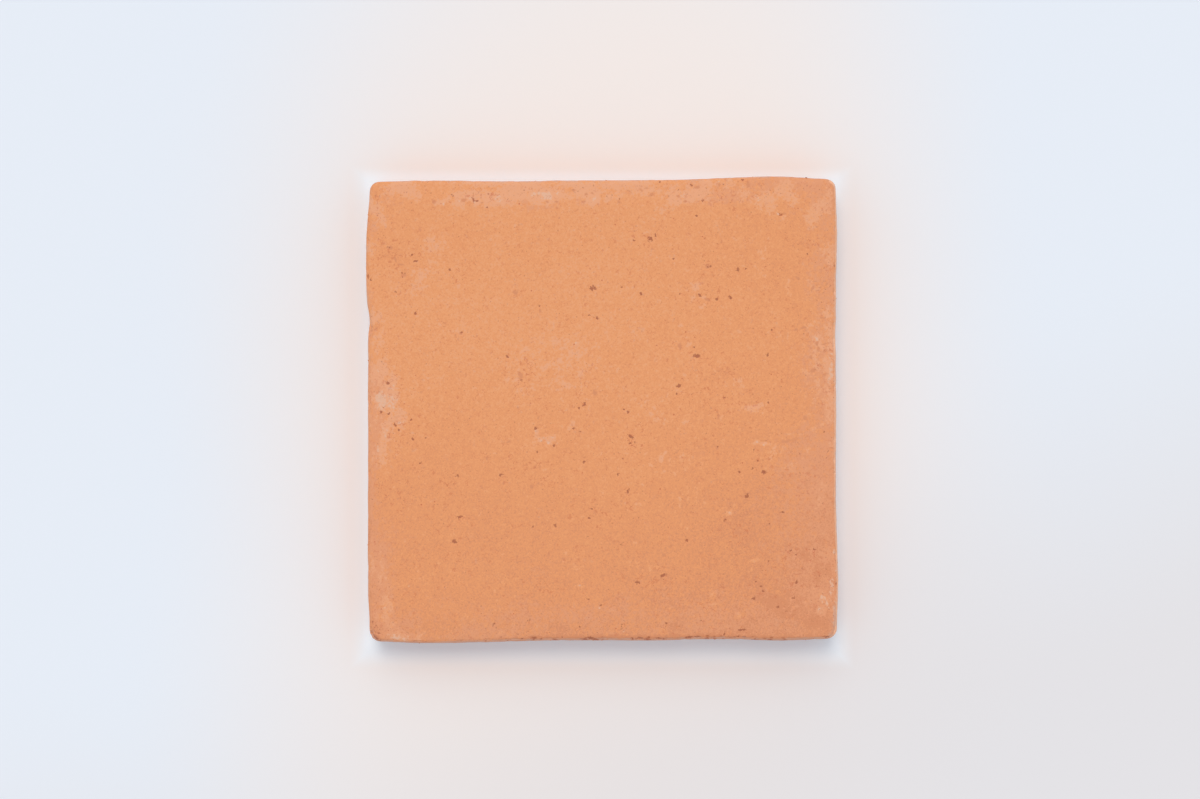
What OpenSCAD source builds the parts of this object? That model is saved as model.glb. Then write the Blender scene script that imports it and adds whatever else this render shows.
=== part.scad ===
// Terracotta floor tile: one slab of clay, shaped by hand and fired.
// It lies on its bed face with its wearing face up. +Z is up, +X runs to the east
// edge and +Y to the north edge. The origin is the middle of the footprint, on the
// bed face. Lengths are in millimetres.

/* [Slab] */
// Size from the west edge to the east edge, before the edges wander
slab_x = 200; // [150:1:400]
// Size from the south edge to the north edge, before the edges wander
slab_y = 197; // [150:1:400]
// Thickness from the bed face to the wearing face
slab_t = 20; // [12:0.5:40]
// How far each side leans in from the wearing face down to the bed face
side_lean = 0.8; // [0:0.1:2]

/* [Upright corners] */
// Radius of the north-east corner
corner_ne = 4.5; // [3:0.5:15]
// Radius of the north-west corner
corner_nw = 4; // [3:0.5:15]
// Radius of the south-west corner
corner_sw = 5; // [3:0.5:15]
// Radius of the south-east corner
corner_se = 4.5; // [3:0.5:15]

/* [Arrises] */
// Radius of the soft arris round the wearing face
top_arris = 2.2; // [0.8:0.1:2.8]
// Radius of the arris round the bed face
bed_arris = 1.2; // [0.4:0.1:2.8]

/* [Worn border of the wearing face] */
// Width of the band in which the wearing face rolls down to its arris
roll_w = 9; // [3:0.5:20]
// Drop of the wearing face where it meets the arris
roll_drop = 0.6; // [0.1:0.1:1.5]

/* [Wandering edges] */
// Strength of the edges' wander, where 0 is a tile with straight edges
wander_gain = 1; // [0:0.1:2]
// Place of the knock in the west edge, north of the middle
knock_y = 38; // [-50:1:50]
// Length of the knock in the west edge
knock_w = 16; // [8:1:30]
// Depth of the knock in the west edge
knock_depth = 1; // [0.2:0.1:2]
// Place of the dent in the east edge, north of the middle
dent_y = 31; // [-50:1:50]
// Length of the dent in the east edge
dent_w = 12; // [8:1:30]
// Depth of the dent in the east edge
dent_depth = 0.5; // [0.1:0.1:2]

/* [Hidden] */
fired_clay = [0.89, 0.61, 0.43];

// Facets along a side, round an upright corner, and up each band of the section.
side_steps = 40;
corner_steps = 6;
bed_steps = 3;
arris_steps = 5;
roll_steps = 4;

// Clay left standing on both faces, which is then struck off flat.
surplus = 1;
// How fast the corners of the worn border grow rounder towards the middle.
roll_rounding = 0.8;
// Smallest radius that a corner keeps where an arris is as wide as the corner.
least_corner_r = 0.4;

// The sides are numbered anticlockwise, 0 east, 1 north, 2 west and 3 south, and
// corner k lies between side k and side k + 1. Each list holds one side's outward
// wander, at equal steps along its straight stretch.
EAST = 0;
WEST = 2;
wander = [
    [0.2, 0.8, 0.3, -0.1, -0.1, -0.1, -0.1, -0.1, -0.1, 0.3, -0.3],
    [0.3, 1.3, 0.9, 0.1, -0.2, -0.3, -0.5, -0.7, -0.6, -0.4, -0.9],
    [-0.6, 0.8, 0.9, 0.3, 0.1, 0.1, 0.1, 0.1, 0.1, 0.1, -0.6],
    [0.5, 1.2, 0.8, 0.3, 0, -0.1, 0, -0.5, -0.5, 0, -0.7],
];
corner_r = [corner_ne, corner_nw, corner_sw, corner_se];
half = [slab_x / 2, slab_y / 2];

// Hollows in a side: [side, place along the side's own direction, length, depth].
hollows = [[WEST, -knock_y, knock_w, knock_depth], [EAST, dent_y, dent_w, dent_depth]];

// Outward direction of side k, and the distance from the middle out to it.
function out(k) = [cos(90 * k), sin(90 * k)];
function reach(k) = half[k % 2];

// Item i of a list, held at the list's ends.
function held(list, i) = list[max(0, min(len(list) - 1, i))];

// Smooth curve through a list of values, for t from 0 to 1.
function curve(list, t) =
    let (s = t * (len(list) - 1), i = min(floor(s), len(list) - 2), f = s - i)
    let (a = held(list, i - 1), b = list[i], c = list[i + 1], d = held(list, i + 2))
    b + f / 2 * (c - a + f * (2 * a - 5 * b + 4 * c - d + f * (3 * (b - c) + d - a)));

// Outward wander of side k at fraction t of its straight stretch.
function drift(k, t) = wander_gain * curve(wander[k % 4], t);

// Depth of one hollow at a place along its side: a smooth dip, nothing past its ends.
function dip(h, place) =
    let (u = 2 * (place - h[1]) / h[2])
    abs(u) < 1 ? h[3] * (1 + cos(180 * u)) / 2 : 0;

// Depth of all the hollows of side k at a place along it.
function hollow(k, place) = max([for (h = hollows) h[0] == k ? dip(h, place) : 0]);

// A ring is the outline drawn in by inset, of which rolled lies in the worn border.
// Radius of its corner k.
function ring_r(k, inset, rolled) =
    max(corner_r[k] - (inset - rolled), least_corner_r) + rolled * roll_rounding;

// Centre of its corner k, measured out along side k and along side k + 1.
function corner_centre(k, inset, rolled) =
    let (r = ring_r(k, inset, rolled))
    [reach(k) - inset - r + drift(k, 1), reach(k + 1) - inset - r + drift(k + 1, 0)];

// Points of its side k, between the two corners.
function side_points(k, inset, rolled) =
    let (from = -corner_centre((k + 3) % 4, inset, rolled)[0])
    let (to = corner_centre(k, inset, rolled)[1])
    [for (i = [1:side_steps - 1])
        let (t = i / side_steps, place = from + t * (to - from))
        (reach(k) - inset + drift(k, t) - hollow(k, place)) * out(k) + place * out(k + 1)];

// Points round its corner k.
function corner_points(k, inset, rolled) =
    let (c = corner_centre(k, inset, rolled), r = ring_r(k, inset, rolled))
    [for (i = [0:corner_steps])
        c[0] * out(k) + c[1] * out(k + 1) + r * out(k + i / corner_steps)];

// All its points, anticlockwise.
function ring(inset, rolled) = [
    for (k = [0:3])
        for (p = concat(side_points(k, inset, rolled), corner_points(k, inset, rolled))) p
];

// Section from under the bed face to over the wearing face: [inset, rolled, height].
side_top = slab_t - roll_drop - top_arris;
face_inset = top_arris + roll_w;
section = concat(
    [[side_lean + bed_arris, 0, -surplus]],
    [for (i = [0:bed_steps])
        let (a = 90 * i / bed_steps)
        [side_lean + bed_arris * (1 - sin(a)), 0, bed_arris * (1 - cos(a))]],
    [for (i = [0:arris_steps])
        let (a = 90 * i / arris_steps)
        [top_arris * (1 - cos(a)), 0, side_top + top_arris * sin(a)]],
    [for (i = [1:roll_steps])
        let (f = i / roll_steps)
        [top_arris + roll_w * f, roll_w * f, slab_t - roll_drop * (1 + cos(180 * f)) / 2]],
    [[face_inset, roll_w, slab_t + surplus]]
);

// The outline and its own middle, which is put over the origin.
outline = ring(0, 0);
xs = [for (p = outline) p.x];
ys = [for (p = outline) p.y];
middle = [min(xs) + max(xs), min(ys) + max(ys)] / 2;

// The slab before it is struck: rings stacked up the section and closed by two fans.
module raw_slab() {
    n = len(outline);
    top = n * len(section);
    points = concat(
        [for (s = section) for (p = ring(s[0], s[1])) [p.x - middle.x, p.y - middle.y, s[2]]],
        [[0, 0, -surplus], [0, 0, slab_t + surplus]]
    );
    faces = concat(
        [for (i = [0:n - 1]) [top, i, (i + 1) % n]],
        [for (s = [0:len(section) - 2])
            for (i = [0:n - 1])
                let (a = s * n + i, b = s * n + (i + 1) % n)
                for (face = [[a, a + n, b + n], [a, b + n, b]]) face],
        [for (i = [0:n - 1]) [top + 1, top - n + (i + 1) % n, top - n + i]]
    );
    polyhedron(points, faces);
}

module tile() {
    color(fired_clay) intersection() {
        raw_slab();
        translate([-slab_x, -slab_y, 0]) cube([2 * slab_x, 2 * slab_y, slab_t]);
    }
}

tile();
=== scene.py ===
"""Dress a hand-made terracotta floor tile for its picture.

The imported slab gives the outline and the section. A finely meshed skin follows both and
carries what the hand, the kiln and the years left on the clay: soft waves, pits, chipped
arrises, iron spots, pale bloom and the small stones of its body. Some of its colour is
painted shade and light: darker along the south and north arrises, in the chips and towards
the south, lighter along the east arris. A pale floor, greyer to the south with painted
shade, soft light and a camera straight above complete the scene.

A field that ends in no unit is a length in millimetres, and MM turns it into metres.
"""

import logging
import math
from collections.abc import Sequence
from dataclasses import dataclass
from enum import Enum
from typing import Any

import bpy
import numpy as np
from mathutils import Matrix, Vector, noise


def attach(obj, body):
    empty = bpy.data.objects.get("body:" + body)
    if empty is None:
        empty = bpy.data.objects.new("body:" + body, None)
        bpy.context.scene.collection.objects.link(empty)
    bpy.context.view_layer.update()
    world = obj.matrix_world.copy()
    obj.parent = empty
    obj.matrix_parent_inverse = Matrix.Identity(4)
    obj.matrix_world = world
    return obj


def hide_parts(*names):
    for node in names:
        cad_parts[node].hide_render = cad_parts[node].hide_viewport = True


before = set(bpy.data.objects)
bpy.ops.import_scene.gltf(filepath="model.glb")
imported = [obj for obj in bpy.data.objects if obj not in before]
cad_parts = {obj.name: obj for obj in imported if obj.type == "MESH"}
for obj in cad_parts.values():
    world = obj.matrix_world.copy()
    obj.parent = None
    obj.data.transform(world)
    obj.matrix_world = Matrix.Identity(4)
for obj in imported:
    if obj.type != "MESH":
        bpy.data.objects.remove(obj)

LOG = logging.getLogger("terracotta_tile")
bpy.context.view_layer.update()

MM = 0.001
TILE_NODE = "tile"
BODY = "root"

Socket = bpy.types.NodeSocket
Value = float | Sequence[float] | Socket


class Tone(Enum):
    """Colours of the fired clay, of what shows in it and of the room, as they look."""

    RUST = "#D68E67"
    DEEP = "#E09669"
    CLAY = "#E59A69"
    BRIGHT = "#E8A171"
    PALE = "#E6A57F"
    BLOOM = "#E2B296"
    PINK = "#DF9A75"
    SPOT = "#C86D4C"
    IRON = "#A86144"
    # Partly broken clay, partly painted shade in the hollows of the chips.
    BROKEN_AND_SHADED = "#B96D47"
    DUST = "#DCB3A0"
    # Painted shade: the south arris, the north arris and the south-east rims, greyer and darker as
    # in shade.
    STRIP = "#CE9F8A"
    # Partly lime bloom, partly painted light that lightens the east arris where the lamps leave it
    # shaded.
    LIMED_AND_LIT = "#F5BE9C"
    FLANK = "#D98F62"
    BED = "#DCA27A"
    STONE_PALE = "#D9B594"
    STONE_RED = "#A4583A"
    FLOOR_WARM = "#F2EAE8"
    FLOOR_COOL = "#E6EDF8"
    # Painted shade on the floor: it greys towards the south as the light falls off.
    FLOOR_FALLOFF_SHADE = "#E3E0E3"
    FLOOR_SHADE = "#EDF5FE"
    FLOOR_GLOW = "#AFCBE0"

    @property
    def rgba(self) -> tuple[float, float, float, float]:
        """The colour in linear light, with full alpha."""
        codes = [int(self.value[i : i + 2], 16) / 255 for i in (1, 3, 5)]
        red, green, blue = [
            c / 12.92 if c <= 0.04045 else ((c + 0.055) / 1.055) ** 2.4 for c in codes
        ]
        return red, green, blue, 1.0


@dataclass(frozen=True)
class Mark:
    """A spot on the wearing face.

    Attributes:
        x: Place east of the middle.
        y: Place north of the middle.
        length: Its first size, from west to east when it isn't turned.
        width: Its size across the first.
        strength: How strong it is, mostly from 0 to 1.
        turn: Degrees from east to its first size, anticlockwise.
    """

    x: float
    y: float
    length: float = 0.8
    width: float = 0.8
    strength: float = 1.0
    turn: float = 0.0

    def reach(self, points: np.ndarray) -> np.ndarray:
        """Tell how far points lie from the spot.

        Args:
            points: Points in metres, one in each row.

        Returns:
            The distance of each point, where 1 is the spot's own rim.
        """
        angle = math.radians(self.turn)
        east = points[:, 0] / MM - self.x
        north = points[:, 1] / MM - self.y
        along = east * math.cos(angle) + north * math.sin(angle)
        across = north * math.cos(angle) - east * math.sin(angle)
        return np.hypot(2 * along / self.length, 2 * across / self.width)


def as_marks(*rows: Sequence[float]) -> tuple[Mark, ...]:
    """Make a mark of each row, which holds its values in their order."""
    return tuple(Mark(*row) for row in rows)


@dataclass(frozen=True)
class Scoop:
    """Clay that broke or fell away, bitten out by an ellipsoid.

    Attributes:
        centre: Middle of the ellipsoid.
        radii: Its half sizes along the edge, across it and upwards.
        out: The way out of the clay.
        turn: Degrees from east to the first half size, anticlockwise.
        WARP: How far the ellipsoid is warped, as a share of its size.
        WARP_SPAN: Size of that warping's shapes.
        GRAIN: How rough its bottom is, as a share of its depth.
        GRAIN_SPAN: Size of that roughness.
        NEARBY: Squared distance of the farthest points looked at, where 1 is its surface.
    """

    centre: tuple[float, float, float]
    radii: tuple[float, float, float]
    out: tuple[float, float, float]
    turn: float

    WARP = 0.3
    WARP_SPAN = 1.1
    GRAIN = 0.3
    GRAIN_SPAN = 1.3
    NEARBY = 1.8

    def local(self, vectors: np.ndarray) -> np.ndarray:
        """Measure vectors along the ellipsoid's own axes, where 1 is its half size."""
        angle = math.radians(self.turn)
        along = vectors[:, 0] * math.cos(angle) + vectors[:, 1] * math.sin(angle)
        across = vectors[:, 1] * math.cos(angle) - vectors[:, 0] * math.sin(angle)
        return np.stack([along, across, vectors[:, 2]], axis=1) / np.array(self.radii)

    def cut(self, points: np.ndarray, depth_left: np.ndarray) -> None:
        """Press the points inside the ellipsoid down to its far side.

        Args:
            points: Points in metres, one in each row, moved in place.
            depth_left: How deep each point has been cut in millimetres, kept in place.
        """
        out = np.array(self.out) / np.linalg.norm(self.out)
        offset = self.local(points / MM - np.array(self.centre))
        close = np.flatnonzero((offset**2).sum(axis=1) < self.NEARBY)
        warp = [noise.noise_vector(Vector(points[i] / (self.WARP_SPAN * MM))) for i in close]
        offset[close] *= 1 + self.WARP * np.array(warp).reshape(-1, 3)
        inside = close[(offset[close] ** 2).sum(axis=1) < 1]
        if len(inside) == 0:
            return
        start = offset[inside]
        step = self.local(out[None, :])[0]
        along = start @ step
        length = step @ step
        depth = (along + np.sqrt(along**2 - length * ((start**2).sum(axis=1) - 1))) / length
        grain = [noise.noise(Vector(points[i] / (self.GRAIN_SPAN * MM))) for i in inside]
        depth *= 1 - self.GRAIN / 2 + self.GRAIN * np.array(grain)
        points[inside] -= depth[:, None] * out * MM
        depth_left[inside] = np.maximum(depth_left[inside], depth)


@dataclass
class Wiring:
    """Short hand for building one node tree.

    Attributes:
        tree: The tree that the nodes go into.
    """

    tree: bpy.types.NodeTree

    def feed(self, socket: Socket, value: Value) -> None:
        """Link a socket to another one, or set its value."""
        if isinstance(value, Socket):
            self.tree.links.new(value, socket)
        else:
            socket.default_value = value

    def node(
        self, kind: str, inputs: dict[str | int, Value] | None = None, **settings: Any
    ) -> bpy.types.Node:
        """Add a node.

        Args:
            kind: Blender's name of the node type.
            inputs: Values or links for its inputs, by name or number.
            **settings: Properties of the node itself.

        Returns:
            The new node.
        """
        node = self.tree.nodes.new(kind)
        for name, setting in settings.items():
            setattr(node, name, setting)
        for key, value in (inputs or {}).items():
            self.feed(node.inputs[key], value)
        return node

    def math(self, operation: str, *terms: Value, clamp: bool = False) -> Socket:
        """Add a sum, product or other number operation and return its result."""
        node = self.node("ShaderNodeMath", operation=operation, use_clamp=clamp)
        for socket, term in zip(node.inputs, terms):
            self.feed(socket, term)
        return node.outputs[0]

    def total(self, *terms: Value) -> Socket:
        """Add several numbers together and return the sum."""
        result = terms[0]
        for term in terms[1:]:
            result = self.math("ADD", result, term)
        return result

    def product(self, *terms: Value) -> Socket:
        """Multiply several numbers and return the product."""
        result = terms[0]
        for term in terms[1:]:
            result = self.math("MULTIPLY", result, term)
        return result

    def vector(self, operation: str, a: Value, b: Value) -> Socket:
        """Add a vector operation and return its vector."""
        node = self.node("ShaderNodeVectorMath", operation=operation)
        self.feed(node.inputs[0], a)
        self.feed(node.inputs["Scale" if operation == "SCALE" else 1], b)
        return node.outputs[0]

    def between(self, value: Value, low: float, high: float) -> Socket:
        """Turn a number into 0 at low and 1 at high, smoothly.

        Args:
            value: The number.
            low: Where it becomes 0, which may also lie above the other end.
            high: Where it becomes 1.

        Returns:
            The result, from 0 to 1.
        """
        node = self.node(
            "ShaderNodeMapRange",
            {"Value": value, "From Min": low, "From Max": high},
            interpolation_type="SMOOTHSTEP",
        )
        return node.outputs["Result"]

    def cloud(
        self, place: Value, size: float, seed: float, detail: float = 2.0, rough: float = 0.5
    ) -> Socket:
        """Add smooth noise.

        Args:
            place: Where it is read.
            size: Size of its largest shapes, in millimetres.
            seed: Which of all such noises it is.
            detail: How many times finer shapes are laid over it.
            rough: How strong those finer shapes are.

        Returns:
            A number about 0.5.
        """
        inputs = {"Vector": place, "W": seed, "Scale": 1 / (size * MM), "Detail": detail}
        node = self.node(
            "ShaderNodeTexNoise", {**inputs, "Roughness": rough}, noise_dimensions="4D"
        )
        return node.outputs[0]

    def dots(
        self, place: Value, spacing: float, seed: float, small: float, large: float, share: float
    ) -> Socket:
        """Add scattered round dots.

        Args:
            place: Where they are read.
            spacing: Size of the cells that can hold one each, in millimetres.
            seed: Which of all such scatters it is.
            small: Least radius of a dot, in millimetres.
            large: Greatest radius of a dot, in millimetres.
            share: Share of the cells that hold one.

        Returns:
            A number from 0 off the dots to 1 on them.
        """
        shifted = self.vector("ADD", place, (seed * 0.137, seed * 0.071, seed * 0.213))
        cells = self.node(
            "ShaderNodeTexVoronoi", {"Vector": shifted, "Scale": 1 / (spacing * MM)}
        )
        chance = self.node("ShaderNodeSeparateColor", {0: cells.outputs["Color"]})
        radius = self.node(
            "ShaderNodeMapRange",
            {
                "Value": chance.outputs[0],
                "To Min": small / spacing,
                "To Max": large / spacing,
            },
        ).outputs["Result"]
        rim = self.math("DIVIDE", cells.outputs["Distance"], radius)
        core = self.math("SUBTRACT", 1.0, self.between(rim, 0.55, 1.05))
        held = self.math("LESS_THAN", chance.outputs[1], share)
        fade = self.math("MULTIPLY_ADD", chance.outputs[2], 0.7, 0.3)
        return self.product(core, held, fade)

    def paint(self, factor: Value, under: Value, over: Value) -> Socket:
        """Lay one colour over another by a factor and return the result."""
        node = self.node("ShaderNodeMix", {0: factor, 6: under, 7: over}, data_type="RGBA")
        return node.outputs[2]

    def coated(self, colour: Value, *coats: tuple[Value, Tone]) -> Value:
        """Lay tones over a colour, each by its own factor, and return the result."""
        for factor, tone in coats:
            colour = self.paint(factor, colour, tone.rgba)
        return colour

    def attribute(self, name: str) -> Socket:
        """Read a number that the surface carries, inside a material."""
        return self.node("ShaderNodeAttribute", attribute_name=name).outputs["Fac"]

    def marked(self, name: str, low: float, high: float, *rough: Value) -> Socket:
        """Turn a carried number, roughened by others, into 0 at low and 1 at high."""
        return self.between(self.total(self.attribute(name), *rough), low, high)


def new_material(name: str) -> tuple[bpy.types.Material, Wiring, bpy.types.Node]:
    """Make an empty material with a principled shader.

    Args:
        name: Name of the material.

    Returns:
        The material, the wiring of its tree, and its shader node.
    """
    material = bpy.data.materials.new(name)
    material.use_nodes = True
    material.node_tree.nodes.clear()
    wiring = Wiring(material.node_tree)
    shader = wiring.node("ShaderNodeBsdfPrincipled")
    wiring.node("ShaderNodeOutputMaterial", {"Surface": shader.outputs[0]})
    return material, wiring, shader


def new_shaper(name: str, inputs: dict[str, str]) -> tuple[bpy.types.NodeTree, Wiring, Any]:
    """Make an empty tree of geometry nodes.

    Args:
        name: Name of the tree.
        inputs: The kind of each of its inputs, by name.

    Returns:
        The tree, its wiring, and the sockets that give its inputs.
    """
    tree = bpy.data.node_groups.new(name, "GeometryNodeTree")
    for label, kind in inputs.items():
        tree.interface.new_socket(label, in_out="INPUT", socket_type="NodeSocket" + kind)
    tree.interface.new_socket("Shape", in_out="OUTPUT", socket_type="NodeSocketGeometry")
    wiring = Wiring(tree)
    return tree, wiring, wiring.node("NodeGroupInput").outputs


@dataclass(frozen=True)
class FiredClayFinish:
    """Unglazed low-fired clay: warm, clouded, speckled, dusty and with painted shade and light at
    its edges, matt.

    Attributes:
        cloud: Size of the broad clouds of colour.
        patch: Size of the patches within them.
        mottle: Size of the mottling.
        grain: Size of the finest grain.
        grain_height: Height of the finest grain.
        roughness: Roughness of the dry surface, from 0 to 1.
    """

    cloud: float = 40.0
    patch: float = 7.0
    mottle: float = 2.2
    grain: float = 0.7
    grain_height: float = 0.02
    roughness: float = 0.86

    CLEAN = (
        (0.0, Tone.RUST),
        (0.25, Tone.DEEP),
        (0.5, Tone.CLAY),
        (0.72, Tone.BRIGHT),
        (0.95, Tone.PALE),
    )
    DUSTED = (
        (0.0, Tone.RUST),
        (0.25, Tone.PINK),
        (0.65, Tone.PINK),
        (0.95, Tone.PALE),
    )

    def tone(self, w: Wiring, place: Value, south: Value, east: Value) -> Socket:
        """Tell how light the clay is, from 0 where it is rusty to 1 where it is pale.

        Args:
            w: The wiring of the material.
            place: Where the surface is.
            south: A number that grows to 1 at the south edge.
            east: A number that grows to 1 at the east edge.

        Returns:
            The number.
        """
        broad = self.swing(w, w.cloud(place, self.cloud, 1.0, 1.0), 0.26)
        patch = self.swing(w, w.cloud(place, self.patch, 2.0, 1.5, 0.8), 0.3)
        mottle = self.swing(w, w.cloud(place, self.mottle, 3.0, 1.5, 0.8), 0.36)
        grain = self.swing(w, w.cloud(place, self.grain, 4.0, 2.0, 0.8), 1.8)
        # Partly painted shade: the tone falls towards the south and east as the light falls off,
        # and partly the clay's own tone.
        shade_and_tone_slope = w.total(0.6, w.product(south, -0.3), w.product(east, -0.12))
        return w.total(shade_and_tone_slope, broad, patch, mottle, grain)

    @staticmethod
    def swing(w: Wiring, value: Value, size: float) -> Socket:
        """Turn noise about 0.5 into a swing of the given size about 0."""
        return w.math("MULTIPLY_ADD", value, size, -size / 2)

    @staticmethod
    def strokes(w: Wiring, place: Value, span: float, seed: float, share: float) -> Socket:
        """Add short curled strokes, as the hairline cracks and drags of dried clay.

        Args:
            w: The wiring of the material.
            place: Where they are read.
            span: Size of their curls, in millimetres.
            seed: Which of all such scatters it is.
            share: How rare they are, from 0.5 to 0.7.

        Returns:
            A number from 0 off the strokes to 1 on them.
        """
        ridge = w.math("SUBTRACT", w.cloud(place, span, seed, 1.0), 0.5)
        line = w.between(w.math("ABSOLUTE", ridge), 0.035, 0.0)
        gate = w.between(w.cloud(place, span, seed + 0.5, 1.0), share, share + 0.06)
        return w.product(line, gate)

    def specks(self, w: Wiring, place: Value) -> Socket:
        """Scatter dark specks, close together where the clay is marked for them.

        Args:
            w: The wiring of the material.
            place: Where the surface is.

        Returns:
            How dark the clay is speckled, from 0 to 1.
        """
        thick = w.product(w.attribute("speck"), 0.06)
        blots = w.total(w.cloud(place, 1.5, 5.0, 2.0, 0.6), thick)
        blots = w.product(w.between(blots, 0.635, 0.715), 0.4)
        near = w.math("MULTIPLY_ADD", w.attribute("speck"), 0.5, 0.3)
        curls = w.product(self.strokes(w, place, 2.2, 6.0, 0.54), near)
        dots = w.dots(place, 6.0, 7.0, 0.2, 0.45, 0.5)
        return w.math("MAXIMUM", w.math("MAXIMUM", blots, curls), dots)

    def flecks(self, w: Wiring, place: Value) -> Socket:
        """Scatter pale flecks, close together where the clay is marked for it."""
        thick = w.attribute("fleck")
        blots = w.total(w.cloud(place, 2.1, 8.0, 2.0, 0.6), w.product(thick, 0.125))
        return w.between(blots, 0.645, 0.715)

    def material(self) -> bpy.types.Material:
        """Make the material.

        Returns:
            The finished material.
        """
        material, w, shader = new_material("fired_clay")
        place = w.node("ShaderNodeTexCoord").outputs["Object"]
        axes = w.node("ShaderNodeSeparateXYZ", {0: place})
        south = w.between(axes.outputs[1], 45 * MM, -95 * MM)
        east = w.between(axes.outputs[0], 15 * MM, 95 * MM)
        ragged = self.swing(w, w.cloud(place, 8.0, 9.0, 4.0, 0.7), 2.2)
        crumbs = self.swing(w, w.cloud(place, 1.2, 10.0, 2.0), 1.4)
        loose = w.total(ragged, crumbs)

        specks = self.specks(w, place)
        flecks = self.flecks(w, place)
        salt = self.swing(w, w.cloud(place, 1.0, 16.0, 2.0), 2.2)
        chunks = self.swing(w, w.cloud(place, 0.8, 14.0, 1.0), 2.4)
        corner = w.product(w.between(axes.outputs[0], 10 * MM, 85 * MM), south)
        pale = w.marked("pale", 0.3, 0.75, w.product(loose, 0.6), crumbs)
        heart = w.marked("bloom", 0.42, 0.9, salt, w.product(ragged, 0.2))
        rust = w.marked("rust", 0.25, 1.2, w.product(corner, 0.25), loose)
        smudge = w.marked("smudge", 0.2, 0.9, crumbs)
        # Rust and painted shade along the crumbled south arris.
        rusty_shaded_sill = w.marked("rusty_shaded_sill", 0.1, 1.0, crumbs)
        veil = w.marked("veil", 0.25, 1.0, w.product(ragged, 0.7), crumbs, crumbs)
        # Painted shade along the south and north arrises and the south-east rims.
        strip = w.marked("strip", 0.25, 0.95, w.product(loose, 0.7))
        # Lime bloom and painted light along the east arris.
        limed_and_lit = w.marked("limed_and_lit", 0.2, 0.9, w.product(loose, 0.3))
        # Broken clay and painted shade in the chips, stronger where they are deeper.
        broken_and_shaded = w.marked("broken_and_shaded", 0.06, 0.3, w.product(crumbs, 0.3))
        iron = w.marked("iron", 0.3, 0.8, chunks)

        tone = w.total(
            self.tone(w, place, south, east),
            w.product(flecks, 0.37),
            w.product(pale, 0.43),
            w.product(rust, -0.24),
            # Rust and painted shade along the south arris darken the tone.
            w.product(rusty_shaded_sill, -0.5),
        )
        clean, dusted = self.ramp(w, tone, self.CLEAN), self.ramp(w, tone, self.DUSTED)
        colour = w.coated(
            w.paint(w.product(veil, 0.82), clean, dusted),
            (w.product(heart, 0.95), Tone.BLOOM),
            (w.product(smudge, 0.9), Tone.RUST),
            (specks, Tone.SPOT),
            # Painted shade on the arrises, lime bloom with painted light on the east arris, broken
            # clay with painted shade in the chips.
            (w.product(strip, 0.74), Tone.STRIP),
            (w.product(limed_and_lit, 0.8), Tone.LIMED_AND_LIT),
            (w.product(broken_and_shaded, 0.75), Tone.BROKEN_AND_SHADED),
            (w.product(iron, 0.88), Tone.IRON),
        )
        colour = self.sided(w, place, colour)
        w.feed(shader.inputs["Base Color"], colour)

        grain = self.swing(w, w.cloud(place, self.grain, 11.0, 3.0, 0.6), 2.0)
        skin = w.product(w.cloud(place, 2.6, 12.0, 2.0), 2.0)
        height = w.total(grain, skin, w.product(specks, -0.6), self.drags(w, place))
        bump = w.node(
            "ShaderNodeBump",
            {"Height": height, "Strength": 1.0, "Distance": self.grain_height * MM},
        )
        w.feed(shader.inputs["Normal"], bump.outputs[0])

        rough = w.math("MULTIPLY_ADD", grain, 0.06, self.roughness)
        rough = w.math("SUBTRACT", rough, w.product(iron, 0.18), clamp=True)
        w.feed(shader.inputs["Roughness"], rough)
        shader.inputs["IOR"].default_value = 1.45
        shader.inputs["Specular IOR Level"].default_value = 0.35
        return material

    @staticmethod
    def ramp(w: Wiring, tone: Value, stops: Sequence[tuple[float, Tone]]) -> Socket:
        """Turn the clay's tone into a colour.

        Args:
            w: The wiring of the material.
            tone: The tone, from 0 to 1.
            stops: Tones and their places, in order.

        Returns:
            The colour.
        """
        node = w.node("ShaderNodeValToRGB", {0: tone})
        elements = node.color_ramp.elements
        for number, (position, stop) in enumerate(stops):
            if number >= len(elements) - 1:
                elements.new(position)
            elements[number].position = position
            elements[number].color = stop.rgba
        elements.remove(elements[len(stops)])
        return node.outputs[0]

    @staticmethod
    def facing_up(w: Wiring) -> Socket:
        """Tell how far the surface faces up, from -1 on the bed to 1 on the wearing face."""
        facing = w.node("ShaderNodeNewGeometry").outputs["Normal"]
        return w.node("ShaderNodeSeparateXYZ", {0: facing}).outputs[2]

    def drags(self, w: Wiring, place: Value) -> Socket:
        """Raise drag lines and grit everywhere but on the wearing face.

        Args:
            w: The wiring of the material.
            place: Where the surface is.

        Returns:
            Their height beside that of the finest grain.
        """
        up = self.facing_up(w)
        streaked = w.vector("MULTIPLY", place, (1.0, 1.0, 9.0))
        lines = self.swing(w, w.cloud(streaked, 12.0, 17.0, 5.0, 0.6), 21.0)
        lines = w.product(lines, w.between(w.math("ABSOLUTE", up), 0.5, 0.2))
        grit = self.swing(w, w.cloud(place, 1.3, 18.0, 3.0, 0.7), 13.0)
        return w.total(lines, w.product(grit, w.between(up, 0.7, 0.2)))

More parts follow.
